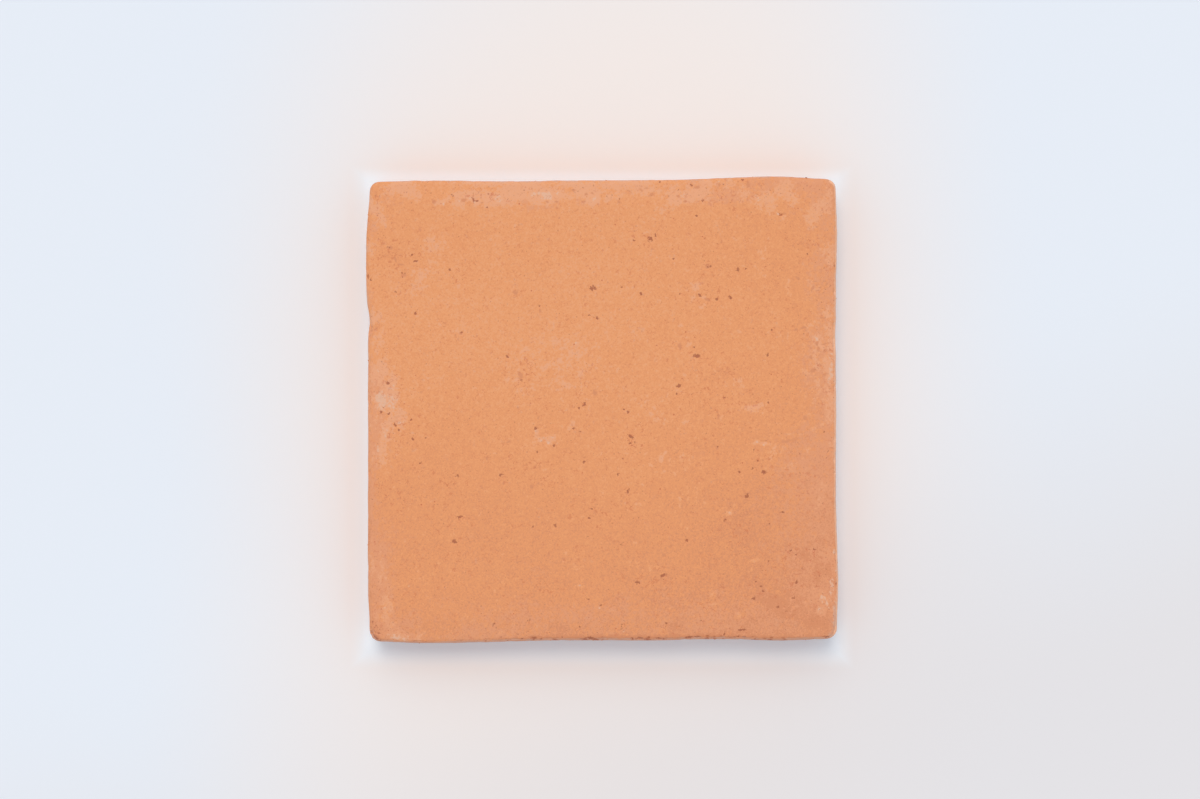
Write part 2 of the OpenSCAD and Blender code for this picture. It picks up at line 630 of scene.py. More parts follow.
    def sided(self, w: Wiring, place: Value, colour: Socket) -> Socket:
        """Give the flanks drag streaks, the top arris its dust and the bed face its sand.

        Args:
            w: The wiring of the material.
            place: Where the surface is.
            colour: The colour so far.

        Returns:
            The finished colour.
        """
        up = self.facing_up(w)
        streaked = w.vector("MULTIPLY", place, (1.0, 1.0, 7.0))
        streaks = w.between(w.cloud(streaked, 16.0, 13.0, 5.0, 0.65), 0.4, 0.62)
        flank = w.between(w.math("ABSOLUTE", up), 0.5, 0.1)
        dust = w.between(w.cloud(place, 6.0, 19.0, 5.0, 0.7), 0.45, 0.65)
        rim = w.product(w.between(up, 0.85, 0.4), w.between(up, -0.1, 0.05))
        colour = w.coated(
            colour,
            (w.product(flank, streaks, 0.8), Tone.FLANK),
            (w.product(rim, dust, 0.75), Tone.DUST),
        )
        return self.bedded(w, place, colour, w.between(up, -0.5, -0.9))

    @staticmethod
    def bedded(w: Wiring, place: Value, colour: Socket, share: Socket) -> Socket:
        """Give the bed face its clouds of sand, its stuck grains and its burnt patches.

        Args:
            w: The wiring of the material.
            place: Where the surface is.
            colour: The colour so far.
            share: How far the surface belongs to the bed face, from 0 to 1.

        Returns:
            The new colour.
        """
        sand = w.between(w.cloud(place, 34.0, 22.0, 6.0, 0.65), 0.36, 0.64)
        burnt = w.between(w.cloud(place, 46.0, 23.0, 5.0, 0.65), 0.5, 0.72)
        pale = w.between(w.cloud(place, 1.4, 24.0, 2.0, 0.6), 0.58, 0.68)
        dots = w.dots(place, 4.0, 25.0, 0.2, 0.6, 0.5)
        dark = w.math("MAXIMUM", dots, w.product(burnt, 0.5))
        return w.coated(
            colour,
            (w.product(share, w.product(sand, 0.75)), Tone.BED),
            (w.product(share, w.product(dark, 0.7)), Tone.SPOT),
            (w.product(share, w.product(pale, 0.55)), Tone.STONE_PALE),
        )


@dataclass(frozen=True)
class StoneFinish:
    """Small stones of the clay's body, from chalky to burnt red, each its own tone.

    Attributes:
        roughness: Roughness of the stones, from 0 to 1.
    """

    roughness: float = 0.8

    def material(self) -> bpy.types.Material:
        """Make the material.

        Returns:
            The finished material.
        """
        material, w, shader = new_material("body_stones")
        place = w.node("ShaderNodeTexCoord").outputs["Object"]
        tint = w.attribute("tint")
        colour = w.paint(w.between(tint, 0.55, 1.0), Tone.FLANK.rgba, Tone.STONE_PALE.rgba)
        colour = w.paint(w.between(tint, 0.3, 0.0), colour, Tone.STONE_RED.rgba)
        veins = w.math("MULTIPLY_ADD", w.cloud(place, 0.5, 21.0, 2.0), 0.3, 0.85)
        w.feed(shader.inputs["Base Color"], w.vector("SCALE", colour, veins))
        shader.inputs["Roughness"].default_value = self.roughness
        return material


@dataclass(frozen=True)
class FloorFinish:
    """Smooth pale floor, warm about the tile, cool at its sides, with painted shade towards the
    south, clear from below.

    Attributes:
        near: Distance from the middle at which the floor starts to cool.
        far: Distance from the middle at which it is cool.
        tile_half: Half the length of the tile's sides.
        shade_width: Width of the cool strip round the tile, which balances its warm glow.
        shade_south: How far that strip is shifted to the south.
        clear_inset: How far inside the tile's sides the floor is clear under it.
        clear_blend: Width in which it grows clear.
        foot_cover: How much further in it starts to be clear where it is seen.
        glow: Strength of the light seen on the floor right beside the tile.
        glow_width: Width of that light.
    """

    near: float = 70.0
    far: float = 210.0
    tile_half: float = 100.0
    shade_width: float = 10.0
    shade_south: float = 3.0
    clear_inset: float = 5.0
    clear_blend: float = 3.6
    foot_cover: float = 1.8
    glow: float = 0.07
    glow_width: float = 5.0

    def material(self) -> bpy.types.Material:
        """Make the material.

        Returns:
            The finished material.
        """
        material, w, shader = new_material("pale_floor")
        place = w.node("ShaderNodeTexCoord").outputs["Object"]
        drawn = w.vector("MULTIPLY", place, (1.0, 0.55, 1.0))
        away = w.node("ShaderNodeVectorMath", {0: drawn}, operation="LENGTH").outputs["Value"]
        drift = w.math("MULTIPLY_ADD", w.cloud(place, 240.0, 31.0, 1.0), 0.1, -0.05)
        factor = w.between(w.total(away, drift), self.near * MM, self.far * MM)
        colour = w.paint(factor, Tone.FLOOR_WARM.rgba, Tone.FLOOR_COOL.rgba)

        axes = w.node("ShaderNodeSeparateXYZ", {0: place})
        front = w.math("MULTIPLY_ADD", axes.outputs[0], 0.35, drift)
        front = w.math("SUBTRACT", front, axes.outputs[1])
        # Painted shade: the floor greys towards the south as the light falls off.
        falloff_shade = w.product(w.between(front, 20 * MM, 190 * MM), 0.8)
        falloff_shade = w.product(falloff_shade, w.between(away, 700 * MM, 300 * MM))
        colour = w.paint(falloff_shade, colour, Tone.FLOOR_FALLOFF_SHADE.rgba)

        east = w.math("ABSOLUTE", axes.outputs[0])
        north = w.math("ABSOLUTE", w.math("ADD", axes.outputs[1], self.shade_south * MM))
        beside = w.math("SUBTRACT", w.math("MAXIMUM", east, north), self.tile_half * MM)
        shade = w.between(beside, self.shade_width * MM, 0.0)
        colour = w.paint(shade, colour, Tone.FLOOR_SHADE.rgba)
        w.feed(shader.inputs["Base Color"], colour)
        shader.inputs["Roughness"].default_value = 0.9
        shader.inputs["Specular IOR Level"].default_value = 0.2

        reach = w.math("MAXIMUM", east, w.math("ABSOLUTE", axes.outputs[1]))
        inset = (self.tile_half - self.clear_inset) * MM
        seen = w.node("ShaderNodeLightPath").outputs["Is Camera Ray"]
        covered = w.math("MULTIPLY_ADD", seen, self.foot_cover * MM, reach)
        under = w.between(covered, inset + self.clear_blend * MM, inset)
        rim = (self.tile_half + self.glow_width) * MM, (self.tile_half + 0.5) * MM
        glow = w.product(w.between(reach, *rim), w.product(seen, self.glow))
        lit = w.node("ShaderNodeEmission", {0: Tone.FLOOR_GLOW.rgba, 1: glow})
        top = w.node("ShaderNodeAddShader", {0: shader.outputs[0], 1: lit.outputs[0]})
        below = w.node("ShaderNodeNewGeometry").outputs["Backfacing"]
        clear = w.node("ShaderNodeBsdfTransparent").outputs[0]
        hidden = w.math("MAXIMUM", below, under)
        sheet = w.node("ShaderNodeMixShader", {0: hidden, 1: top.outputs[0], 2: clear})
        w.feed(w.tree.nodes["Material Output"].inputs["Surface"], sheet.outputs[0])
        return material


@dataclass
class SlabForm:
    """The slab's own outline at each level of its section, read from its solid.

    Attributes:
        heights: Height of each level in metres, from the bed face up.
        outlines: For each level, rows of bearing, x and y, in order of bearing.
        ARRIS_BANDS: How many bands between levels turn round the top arris.
    """

    heights: list[float]
    outlines: list[np.ndarray]

    ARRIS_BANDS = 5

    @classmethod
    def of_node(cls, node: bpy.types.Object) -> "SlabForm":
        """Read the form of a node whose corners lie in level rings.

        Args:
            node: The slab's node in the frame.

        Returns:
            Its form.
        """
        flat = np.empty(3 * len(node.data.vertices))
        node.data.vertices.foreach_get("co", flat)
        corners = np.unique(np.round(flat.reshape(-1, 3), 7), axis=0)
        levels = np.round(corners[:, 2], 5)
        heights = sorted(set(levels.tolist()))
        outlines = []
        for height in heights:
            ring = corners[levels == height]
            bearing = np.arctan2(ring[:, 1], ring[:, 0])
            order = np.argsort(bearing)
            outlines.append(np.column_stack([bearing, ring[:, :2]])[order])
        return cls(heights, outlines)

    @property
    def widest(self) -> int:
        """Number of the level with the longest outline."""
        return int(np.argmax([np.ptp(o[:, 1]) for o in self.outlines]))

    @property
    def foot(self) -> int:
        """Number of the level at the foot of the flanks."""
        return self.widest - 1

    def ring(self, level: float, bearings: np.ndarray) -> np.ndarray:
        """Find the outline at a level.

        Args:
            level: Number of the level, which may lie between two of them.
            bearings: Where round the outline the points are wanted, in radians.

        Returns:
            The points in metres, one in each row.
        """
        below = min(int(level), len(self.heights) - 2)
        share = level - below
        points = []
        for number in (below, below + 1):
            outline = self.outlines[number]
            x, y = (
                np.interp(bearings, outline[:, 0], outline[:, k], period=2 * math.pi)
                for k in (1, 2)
            )
            points.append(np.stack([x, y, np.full_like(x, self.heights[number])], axis=1))
        return points[0] * (1 - share) + points[1] * share

    def edge_at(self, level: float, bearing: float) -> tuple[np.ndarray, np.ndarray, float]:
        """Find a place on the outline at a level.

        Args:
            level: Number of the level, which may lie between two of them.
            bearing: Where round the outline the place is, in radians.

        Returns:
            The place in millimetres, the way out there and the degrees by which the edge turns.
        """
        before, here, after = self.ring(level, bearing + np.array([-0.01, 0, 0.01]))
        along = (after - before)[:2]
        outward = np.array([along[1], -along[0]]) / np.linalg.norm(along)
        return here / MM, outward, math.degrees(math.atan2(along[1], along[0]))

    def corner_bearings(self) -> list[float]:
        """Bearings of the middles of the corners: south-east, north-east and onwards."""
        bearings = np.linspace(-math.pi, math.pi, 7200, endpoint=False)
        ring = self.ring(self.widest, bearings)
        diagonals = [(1, -1), (1, 1), (-1, 1), (-1, -1)]
        return [float(bearings[np.argmax(ring[:, :2] @ d)]) for d in diagonals]

    def even_bearings(self, counts: Sequence[int]) -> np.ndarray:
        """Cut the four sides into even steps.

        Args:
            counts: Steps along the east, north, west and south side.

        Returns:
            The bearing where each step begins, from the south-east corner round.
        """
        corners = self.corner_bearings()
        ends = corners[1:] + corners[:1]
        found = []
        for start, end, count in zip(corners, ends, counts):
            end += 2 * math.pi * (end < start)
            fine = np.linspace(start, end, 1500)
            ring = self.ring(self.widest, fine)
            run = np.cumsum(np.linalg.norm(np.diff(ring, axis=0, prepend=ring[:1]), axis=1))
            found.append(np.interp(np.arange(count) / count * run[-1], run, fine))
        return np.concatenate(found)

    def stations(self, spacings: Sequence[float]) -> list[float]:
        """Cut the section into steps.

        Args:
            spacings: Longest step wanted in each band between two levels.

        Returns:
            The level number of each step's end, from the bed face up.
        """
        found = [0.0]
        east = np.array([0.0])
        for number, spacing in enumerate(spacings):
            ends = [self.ring(number + k, east)[0] for k in (0, 1)]
            count = math.ceil(np.linalg.norm(ends[1] - ends[0]) / (spacing * MM))
            found += [number + (k + 1) / count for k in range(count)]
        return found


@dataclass
class MeshDraft:
    """Points and faces gathered for one mesh.

    Attributes:
        points: Arrays of points in metres.
        faces: Corner numbers of each face.
        count: How many points there are.
    """

    points: list[np.ndarray]
    faces: list[tuple[int, ...]]
    count: int = 0

    def add(self, points: np.ndarray) -> np.ndarray:
        """Add points and return their numbers, in the same shape."""
        flat = points.reshape(-1, 3)
        self.points.append(flat)
        self.count += len(flat)
        return np.arange(self.count - len(flat), self.count).reshape(points.shape[:-1])

    def strip(self, lower: np.ndarray, upper: np.ndarray) -> None:
        """Join two closed rings of as many points with a band of faces."""
        after = np.roll(lower, -1), np.roll(upper, -1)
        self.faces += zip(lower.tolist(), after[0].tolist(), after[1].tolist(), upper.tolist())

    def sheet(self, numbers: np.ndarray, upside_down: bool) -> None:
        """Close a grid of points with faces."""
        rows = [numbers[:-1, :-1], numbers[1:, :-1], numbers[1:, 1:], numbers[:-1, 1:]]
        if upside_down:
            rows.reverse()
        self.faces += zip(*(r.ravel().tolist() for r in rows))

    def finer(self, near: np.ndarray) -> "MeshDraft":
        """Cut the sides of faces in three, and the faces with them.

        Args:
            near: Whether each point is one between which sides are cut.

        Returns:
            The finer draft, with the old points first.
        """
        points = np.concatenate(self.points)
        fine = MeshDraft([], [])
        fine.add(points)
        cuts: dict[tuple[int, int], list[int]] = {}

        def side(start: int, end: int) -> list[int]:
            """Cut a side, unless one of its ends is far from what has to show.

            Args:
                start: Number of the point where it starts.
                end: Number of the point where it ends.

            Returns:
                Numbers of the points that cut it, in order.
            """
            if not (near[start] and near[end]):
                return []
            key = min(start, end), max(start, end)
            if key not in cuts:
                low, high = points[list(key)]
                cuts[key] = fine.add(np.stack([2 * low + high, low + 2 * high]) / 3).tolist()
            return cuts[key] if start < end else cuts[key][::-1]

        for face in self.faces:
            corners = points[list(face)]
            sides = [side(*ends) for ends in zip(face, face[1:] + face[:1])]
            ring = [number for k, start in enumerate(face) for number in (start, *sides[k])]
            if len(ring) == len(face):
                fine.faces.append(face)
            elif len(ring) == 12:
                blend = (4 * corners + 2 * np.roll(corners, 1, axis=0)) / 9
                blend += (2 * np.roll(corners, -1, axis=0) + np.roll(corners, 2, axis=0)) / 9
                inner = fine.add(blend).tolist()
                fine.faces.append(tuple(inner))
                for k, start in enumerate(face):
                    out, back = sides[k], sides[k - 1]
                    fine.faces.append((start, out[0], inner[k], back[1]))
                    fine.faces.append((out[0], out[1], inner[(k + 1) % 4], inner[k]))
            else:
                centre = int(fine.add(corners.mean(axis=0, keepdims=True))[0])
                fine.faces += [(*ends, centre) for ends in zip(ring, ring[1:] + ring[:1])]
        return fine

    def mesh(self, name: str) -> bpy.types.Mesh:
        """Make the mesh."""
        mesh = bpy.data.meshes.new(name)
        mesh.from_pydata(np.concatenate(self.points).tolist(), [], self.faces)
        mesh.validate()
        return mesh


def grid_numbers(ring: np.ndarray, across: int, along: int) -> np.ndarray:
    """Lay the numbers of a ring's points round the rim of a grid.

    Args:
        ring: Numbers of the points, from the south-east corner anticlockwise.
        across: Steps from west to east.
        along: Steps from south to north.

    Returns:
        The grid, with -1 inside, its first index eastwards and its second northwards.
    """
    grid = np.full((across + 1, along + 1), -1)
    north, west, south = along, along + across, 2 * along + across
    grid[across, :] = ring[: along + 1]
    grid[:, along] = ring[north : north + across + 1][::-1]
    grid[0, :] = ring[west : west + along + 1][::-1]
    grid[:, 0] = np.append(ring[south:], ring[0])
    return grid


def fill_grid(rim: np.ndarray) -> np.ndarray:
    """Spread a grid's rim smoothly over its inside.

    Args:
        rim: Points of the grid in metres, of which only the rim's are right.

    Returns:
        The points with the inside worked out from the four sides.
    """
    across, along = rim.shape[0] - 1, rim.shape[1] - 1
    u = (np.arange(across + 1) / across)[:, None, None]
    v = (np.arange(along + 1) / along)[None, :, None]
    south, north = rim[:, :1], rim[:, -1:]
    west, east = rim[:1, :], rim[-1:, :]
    sides = (1 - v) * south + v * north + (1 - u) * west + u * east
    corners = (1 - u) * ((1 - v) * rim[0, 0] + v * rim[0, -1]) + u * (
        (1 - v) * rim[-1, 0] + v * rim[-1, -1]
    )
    return sides - corners


IRON_SPOTS = as_marks(
    (-4, 52, 2.6, 2.1), (20.5, 73, 1.9, 2.2), (40.4, 23, 3.2, 1.6), (-63, -56, 1.9, 1.8),
    (-60.7, -45.5, 2.3, 1.1, 1, 15), (32.8, 10.3, 1.7, 1.8), (69, -26.5, 2.1, 1.6),
    (61.8, -36.8, 1.9, 1.7), (36, -55.5, 1.5, 1.3), (15, -73.5, 2.5, 1.1),
    (26, -70.5, 2.8, 1.3, 1, 20), (16.7, 49.5, 1.1, 1.5, 1, 20), (-2.2, 39.3, 1.6, 1.3, 1, 140),
    (58, 59.9, 1.1, 1.8), (41.6, 48.9, 1.5, 1.3, 1, 150), (48.8, 47.3, 1.2, 1),
    (54.7, 48.1, 1.1, 1.7, 1, 20), (-79.5, 63.4, 1.6, 1), (-80.9, 66.3, 1.1, 1.1),
    (-64.9, 59.8, 1.1, 1.1), (-79.6, 41.2, 1.3, 1.2, 1, 30), (-64, 91.3, 0.9, 0.8),
    (-40.5, 22.7, 1.9, 0.9, 1, 150), (-7.4, 2.6, 1.1, 1.9), (-9.9, 0.8, 1.1, 1, 1, 40),
    (-28.2, -7.8, 1.9, 1.2), (-20.7, -15, 1.3, 1), (-12.2, -7.9, 1.4, 1), (11, -1, 1, 1.3),
    (12.2, -11.3, 2.3, 1.2, 1, 145), (11.9, -14.2, 1.2, 0.9), (11, -34.9, 1, 2),
    (-61.6, -28.2, 1.6, 1.1, 1, 150), (-43.3, -27.6, 1.8, 1.1), (-80.8, -12.4, 1.1, 1.3),
    (-91.5, 11.5, 1.7, 1.2, 1, 130), (-94.2, -1, 1.6, 0.9, 1, 150), (-90.8, -1.5, 1, 0.8, 1, 40),
    (-88.3, -6.4, 1.6, 1.1, 1, 130), (-86.7, -8.6, 1.1, 0.9, 1, 130), (-81.4, -4.2, 0.9, 1),
    (-75.1, -11.8, 0.9, 0.8), (-77.7, -22.7, 0.9, 0.9), (-20.2, -49.2, 1.1, 1.4),
    (-5.6, -46, 1.1, 0.9), (70.5, 23.4, 1.2, 1.1), (58.5, -26.5, 1.1, 1), (64.7, -17, 0.8, 0.7),
    (66.5, -21.6, 0.8, 0.7), (64.3, -24.7, 0.7, 0.6), (70.8, 3.2, 1.1, 0.8, 1, 60),
    (72.3, 34.2, 0.9, 0.9), (94.8, -9.2, 0.8, 0.7), (76.7, -43.5, 1.7, 0.8),
    (52.4, -47, 1.4, 0.9, 1, 35), (63, -46.8, 0.9, 0.8), (71.4, -48.5, 0.7, 0.6),
    (80.5, -60, 1.3, 0.8, 1, 20), (82.7, -61.8, 0.8, 0.7), (90.4, -59.3, 0.8, 0.7),
    (71.1, -64.4, 0.7, 0.7), (85.3, -67.9, 0.7, 0.7), (65.7, -73, 0.9, 0.6),
    (67.7, -75.2, 1.2, 0.7), (68.7, -77.2, 1.2, 0.8, 1, 125), (64.7, -80.4, 1.5, 1.3),
    (81.5, -80.2, 1.5, 0.6), (74.9, -83.9, 1, 1.5, 1, 20), (78.4, -85.8, 0.6, 0.6),
    (83, -73.5, 1.1, 1.7, 1, 160), (60, -93.7, 2.8, 0.8), (42.2, -89.7, 0.8, 0.6),
    (52.1, -95.9, 1.1, 0.7, 1, 40), (-46, -91.2, 1.1, 1, 1, 40), (76.3, 83.2, 2, 0.9, 1, 150),
    (87.6, 66.6, 0.8, 0.7), (61.2, 60.2, 0.8, 0.7), (-53.8, 89.2, 2.6, 0.8), (-49, 86.2, 1.1, 0.9),
    (42.9, 89.4, 1, 1.1), (40.2, 82.8, 1.1, 0.8), (22.8, 74.6, 0.8, 1.4), (13.5, 72.3, 1.2, 0.9),
    (30.4, 64.4, 1, 0.8), (-85.3, 58.4, 0.8, 0.6), (-83.9, 58.4, 0.7, 0.7),
    (-85.2, 56.6, 0.7, 0.6), (-91, 69.4, 1, 0.7), (-98.5, 55.5, 1, 0.8), (-88.3, 50.5, 0.7, 0.7),
    (59.8, 98.2, 1.3, 0.8), (-55, 90, 0.9, 0.8), (38, 96, 1.3, 0.8, 1, 160), (7.5, 90),
    (24.6, 97.4, 0.9, 0.9), (-31.6, -90.1, 0.7, 0.7), (-9.6, -92.4, 1.1, 0.8, 1, 130),
    (8.2, -92.4, 0.7, 1.1), (-5.7, -80.7, 1.2, 0.7), (-0.5, -83.2, 1.2, 0.7),
    (27.3, -91, 1.2, 0.7), (58.3, -93.8, 0.7, 0.6), (96, -96.8, 1.6, 0.8, 1, 20),
    (-97.8, -90.3, 0.6, 0.7), (-96.2, -91.8, 0.6, 0.6), (-97, -92.7, 0.6, 0.6),
    # From (-29, -97.4) through (77.6, -98.1), and the two spots at the south-west corner that
    # follow, the spots mark the crumbled south arris, dark partly as iron and broken clay and
    # partly as painted shade.
    (-95.4, -95.1, 1.1, 0.6, 1, 150), (-29, -97.4, 2, 1.4, 0.9, 10), (-34.2, -97.6, 1.4, 0.8, 0.8),
    (-26, -97.8, 1, 0.7, 0.7), (-40.4, -98.4, 0.9, 0.8, 0.8), (-49.7, -98.8, 0.8, 0.7, 0.8),
    (-43, -96.9, 0.6, 0.6), (-17, -96.9, 0.6, 0.6), (-20, -98.1, 2.4, 0.7, 0.8),
    (-7.2, -98, 2.6, 1), (-4.9, -97.3, 2.2, 1.6), (-2.6, -98, 2.4, 0.8), (0.4, -98, 1.2, 0.7, 0.8),
    (13, -97.6, 1.4, 0.8, 0.9), (16.4, -97.3, 2.4, 0.6, 0.8), (19.3, -97.9, 2.8, 1),
    (24.2, -97.4, 1.8, 0.9), (26.4, -97.8, 1.4, 0.8, 0.8), (36.8, -97, 3, 0.9),
    (40.6, -96.9, 2.2, 0.6, 0.8), (44.6, -97.6, 2.4, 1.1), (48.4, -97.7, 1.6, 0.6, 0.8),
    (51.6, -98, 2.4, 0.6, 0.8), (57, -96.9, 3, 0.6, 0.8), (60.4, -96.8, 2.4, 0.6, 0.9),
    (65, -98, 2.6, 0.7, 0.8), (71.6, -98.2, 3, 0.8, 0.8), (77.6, -98.1, 3.4, 0.8, 0.8),
    (-96.9, -97, 2.6, 1.3, 0.7, 140), (-95, -98.2, 1.8, 0.9, 0.7, 165), (9.4, 0.2, 1, 0.7),
    (13.9, -13.8, 0.8, 0.7), (31.8, 7.1, 0.9, 0.7), (39.2, 26.8, 0.8, 0.7), (52.5, 5.3, 1, 0.7),
    (16, -18.1, 0.9, 0.6), (8.7, -20.7, 0.9, 0.7), (49.2, -15.6, 0.7, 0.6), (-9.3, -9.3, 0.9, 0.8),
    (-27.7, -17.9, 0.8, 1), (-7.4, -20.3, 1, 0.8), (-7.6, -22), (-34.5, 12.6, 0.9, 0.8),
    (-26.9, 44.5, 0.8, 1), (-5.1, 40.4, 0.6, 0.6), (33.1, 49.4, 0.9, 0.6), (8.3, 52.4, 1, 0.6),
    (45, 61, 0.6, 0.6), (45.9, 61, 0.6, 0.6), (46.4, 61.4, 0.6, 0.7), (-59.8, 33.1, 1, 0.9),
    (6.6, -27.6, 0.7, 0.7), (-29.4, -33.1, 0.6, 0.6), (-4.3, -42.2, 1.1, 0.7),
    (-29.4, -49.7, 0.8, 1.1), (7.8, -57.6, 0.7, 0.7),
)

SMUDGES = as_marks(
    (44.9, 61.3, 4.4, 2.4), (-37.1, 50.4, 3, 2.5), (-84.4, 57.4, 3, 2.8, 0.7), (-90.5, 69, 3, 2.6),
    (44.8, 47.4, 2.4, 1.8), (-35, 14.5, 2, 3.2), (-26.4, 42.4, 1.3, 1.3),
    (-40, -13.7, 3, 1.6, 0.7), (80, -13, 9, 1.8, 0.85, 8), (86.6, -3.4, 2.8, 1.5, 0.8),
    (87, -32, 1.8, 5, 0.6), (93.6, -1.8, 1.2, 1, 0.8), (25.2, -72, 2.6, 2.2, 0.6),
    (-88, 64, 3, 1.2, 1, 100), (-86, 62, 4, 1.2, 1, 170), (-96.4, -97.6, 4.2, 2.4, 1, 150),
    (-97.6, -94.5, 2, 4, 0.6, 20), (-96.5, 34.5, 3.4, 1.4, 0.7, 40), (-12.4, 94, 2.6, 1.3),
    (-6.3, 91.9, 2, 1.5), (-4, 92.1, 1.6, 0.9), (-8, 89.3, 2.6, 1), (-19.7, 88.6, 1.8, 1.4),
    (-23.5, 88.6, 1.3, 1.1), (16.7, 94.2, 1.8, 2), (19.2, 94.3, 1.8, 1.1), (21.3, 91.6, 1.6, 2.4),
    (12, 93, 2.4, 1.2, 0.8), (6.8, 88.8, 1.5, 2.2), (33.1, 90.8, 2, 1.5), (35.2, 88.6, 1.5, 1.3),
    (40, 94.7, 2.8, 1.8), (50.3, 95.6, 1.4, 1.8), (62, 96, 1.2, 2.2), (77.8, 83.3, 2.4, 1.1),
    (-59, 89.5, 2, 1.6), (-71.5, 88.5, 2, 1.6), (-51, 88.3, 1.6, 1.1), (91.3, 28.8, 2, 2.2),
    (95, 28, 3.2, 1.1), (92.2, 25.8, 1.4, 2), (94.6, 25.3, 2, 1.1), (89.2, 22.2, 1.6, 2),
    (90, 16.8, 2, 1.7), (95, 15.5, 1.8, 1.1), (93.4, 18.8, 2, 2.6, 0.8), (83.5, 56.5, 2.2, 1.6),
    (90, 52, 1.2, 1.8), (92.8, 52.4, 2, 1), (91.7, 50.8, 2, 1), (86, 35, 2, 1.2), (83, 34, 2, 1.1),
    (94.2, 38.9, 2.6, 1.1), (99.4, -74, 1.2, 1.8), (-30, -33, 1.6, 2), (47.4, 57.5, 2, 2, 0.6),
    (-63.1, -6.3, 2, 1.4, 0.6), (-59.8, 33, 1.7, 1.6), (55.3, 47.4, 1.4, 1.2),
    (33.2, 26.7, 1.4, 3), (49.4, -2.9, 1.6, 1.6), (-3, 7.4, 1.8, 2.6), (-28.5, -24, 1.2, 1.4),
    (-49, -20.8, 1.3, 2),
)

RUSTY_AREAS = as_marks(
    (75, -82, 26, 9, 1, 170), (79, -86, 12, 6), (66, -74, 8, 4), (86, -62, 5, 5), (92, -71, 6, 8),
    (97, -69, 3.4, 5), (92, -91, 12, 8), (94, -56, 4, 3), (64, -88.5, 9, 3, 0.8),
    (61, -94.5, 9, 3), (58, -50, 40, 30, 0.45, 30), (30, -80, 70, 24, 0.6, 10),
    (20, -98, 150, 8, 0.8), (-96, -94, 12, 7, 1, 118), (-97.4, -91, 4, 7), (-95, -98, 9, 3),
    (-98.6, -79, 4, 12), (-99, -52, 4, 14), (96, -66, 8, 16, 1, 20), (86, 70, 8, 8),
    (-90, 66, 12, 10), (50, 15, 18, 8, 1, 20), (93.5, 95, 9, 6), (-97, 93.5, 5, 8),
    (-99.4, 79, 2.4, 9), (-22.5, 96, 10, 4), (-33.5, 88.4, 9, 2.4), (-15, -94, 30, 6),
    (30, -93, 12, 5),
)

# Where the south arris is darkened, partly as rust and partly as painted shade.
RUSTY_SHADED_SILL = as_marks(
    (8, -98, 96, 12), (72, -98, 34, 8, 0.6),
)

# Rims round the south-east corner, painted mauve-grey as shade.
SHADED_MAUVE_RIMS = as_marks(
    (99.6, -89, 2.6, 16, 0.7), (88, -98.2, 24, 2.4, 0.7), (97.5, -95.5, 5, 3, 0.7, 45),
    (79, -91, 12, 4, 0.35),
)

DUSTY_EDGES = as_marks(
    (104, 0, 230, 30, 1, 90), (104, -42, 90, 60, 1, 90), (94, -74, 60, 40, 1, 100),
    (92, 98, 90, 26, 1, 160), (0, -103, 240, 22), (70, -102, 130, 44), (-10, -90, 120, 16, 0.6),
    (-96, -98, 70, 34, 1, 150), (-103, -20, 200, 13, 1, 90), (-101, 2, 50, 16, 1, 90),
    (-101, -72, 50, 24, 1, 90), (-24, 87.6, 36, 3.4, 0.7), (-89.5, 90.5, 8, 7, 0.7, 40),
    (8, 90, 12, 4, 0.7), (50, 94, 50, 10, 0.8),
)

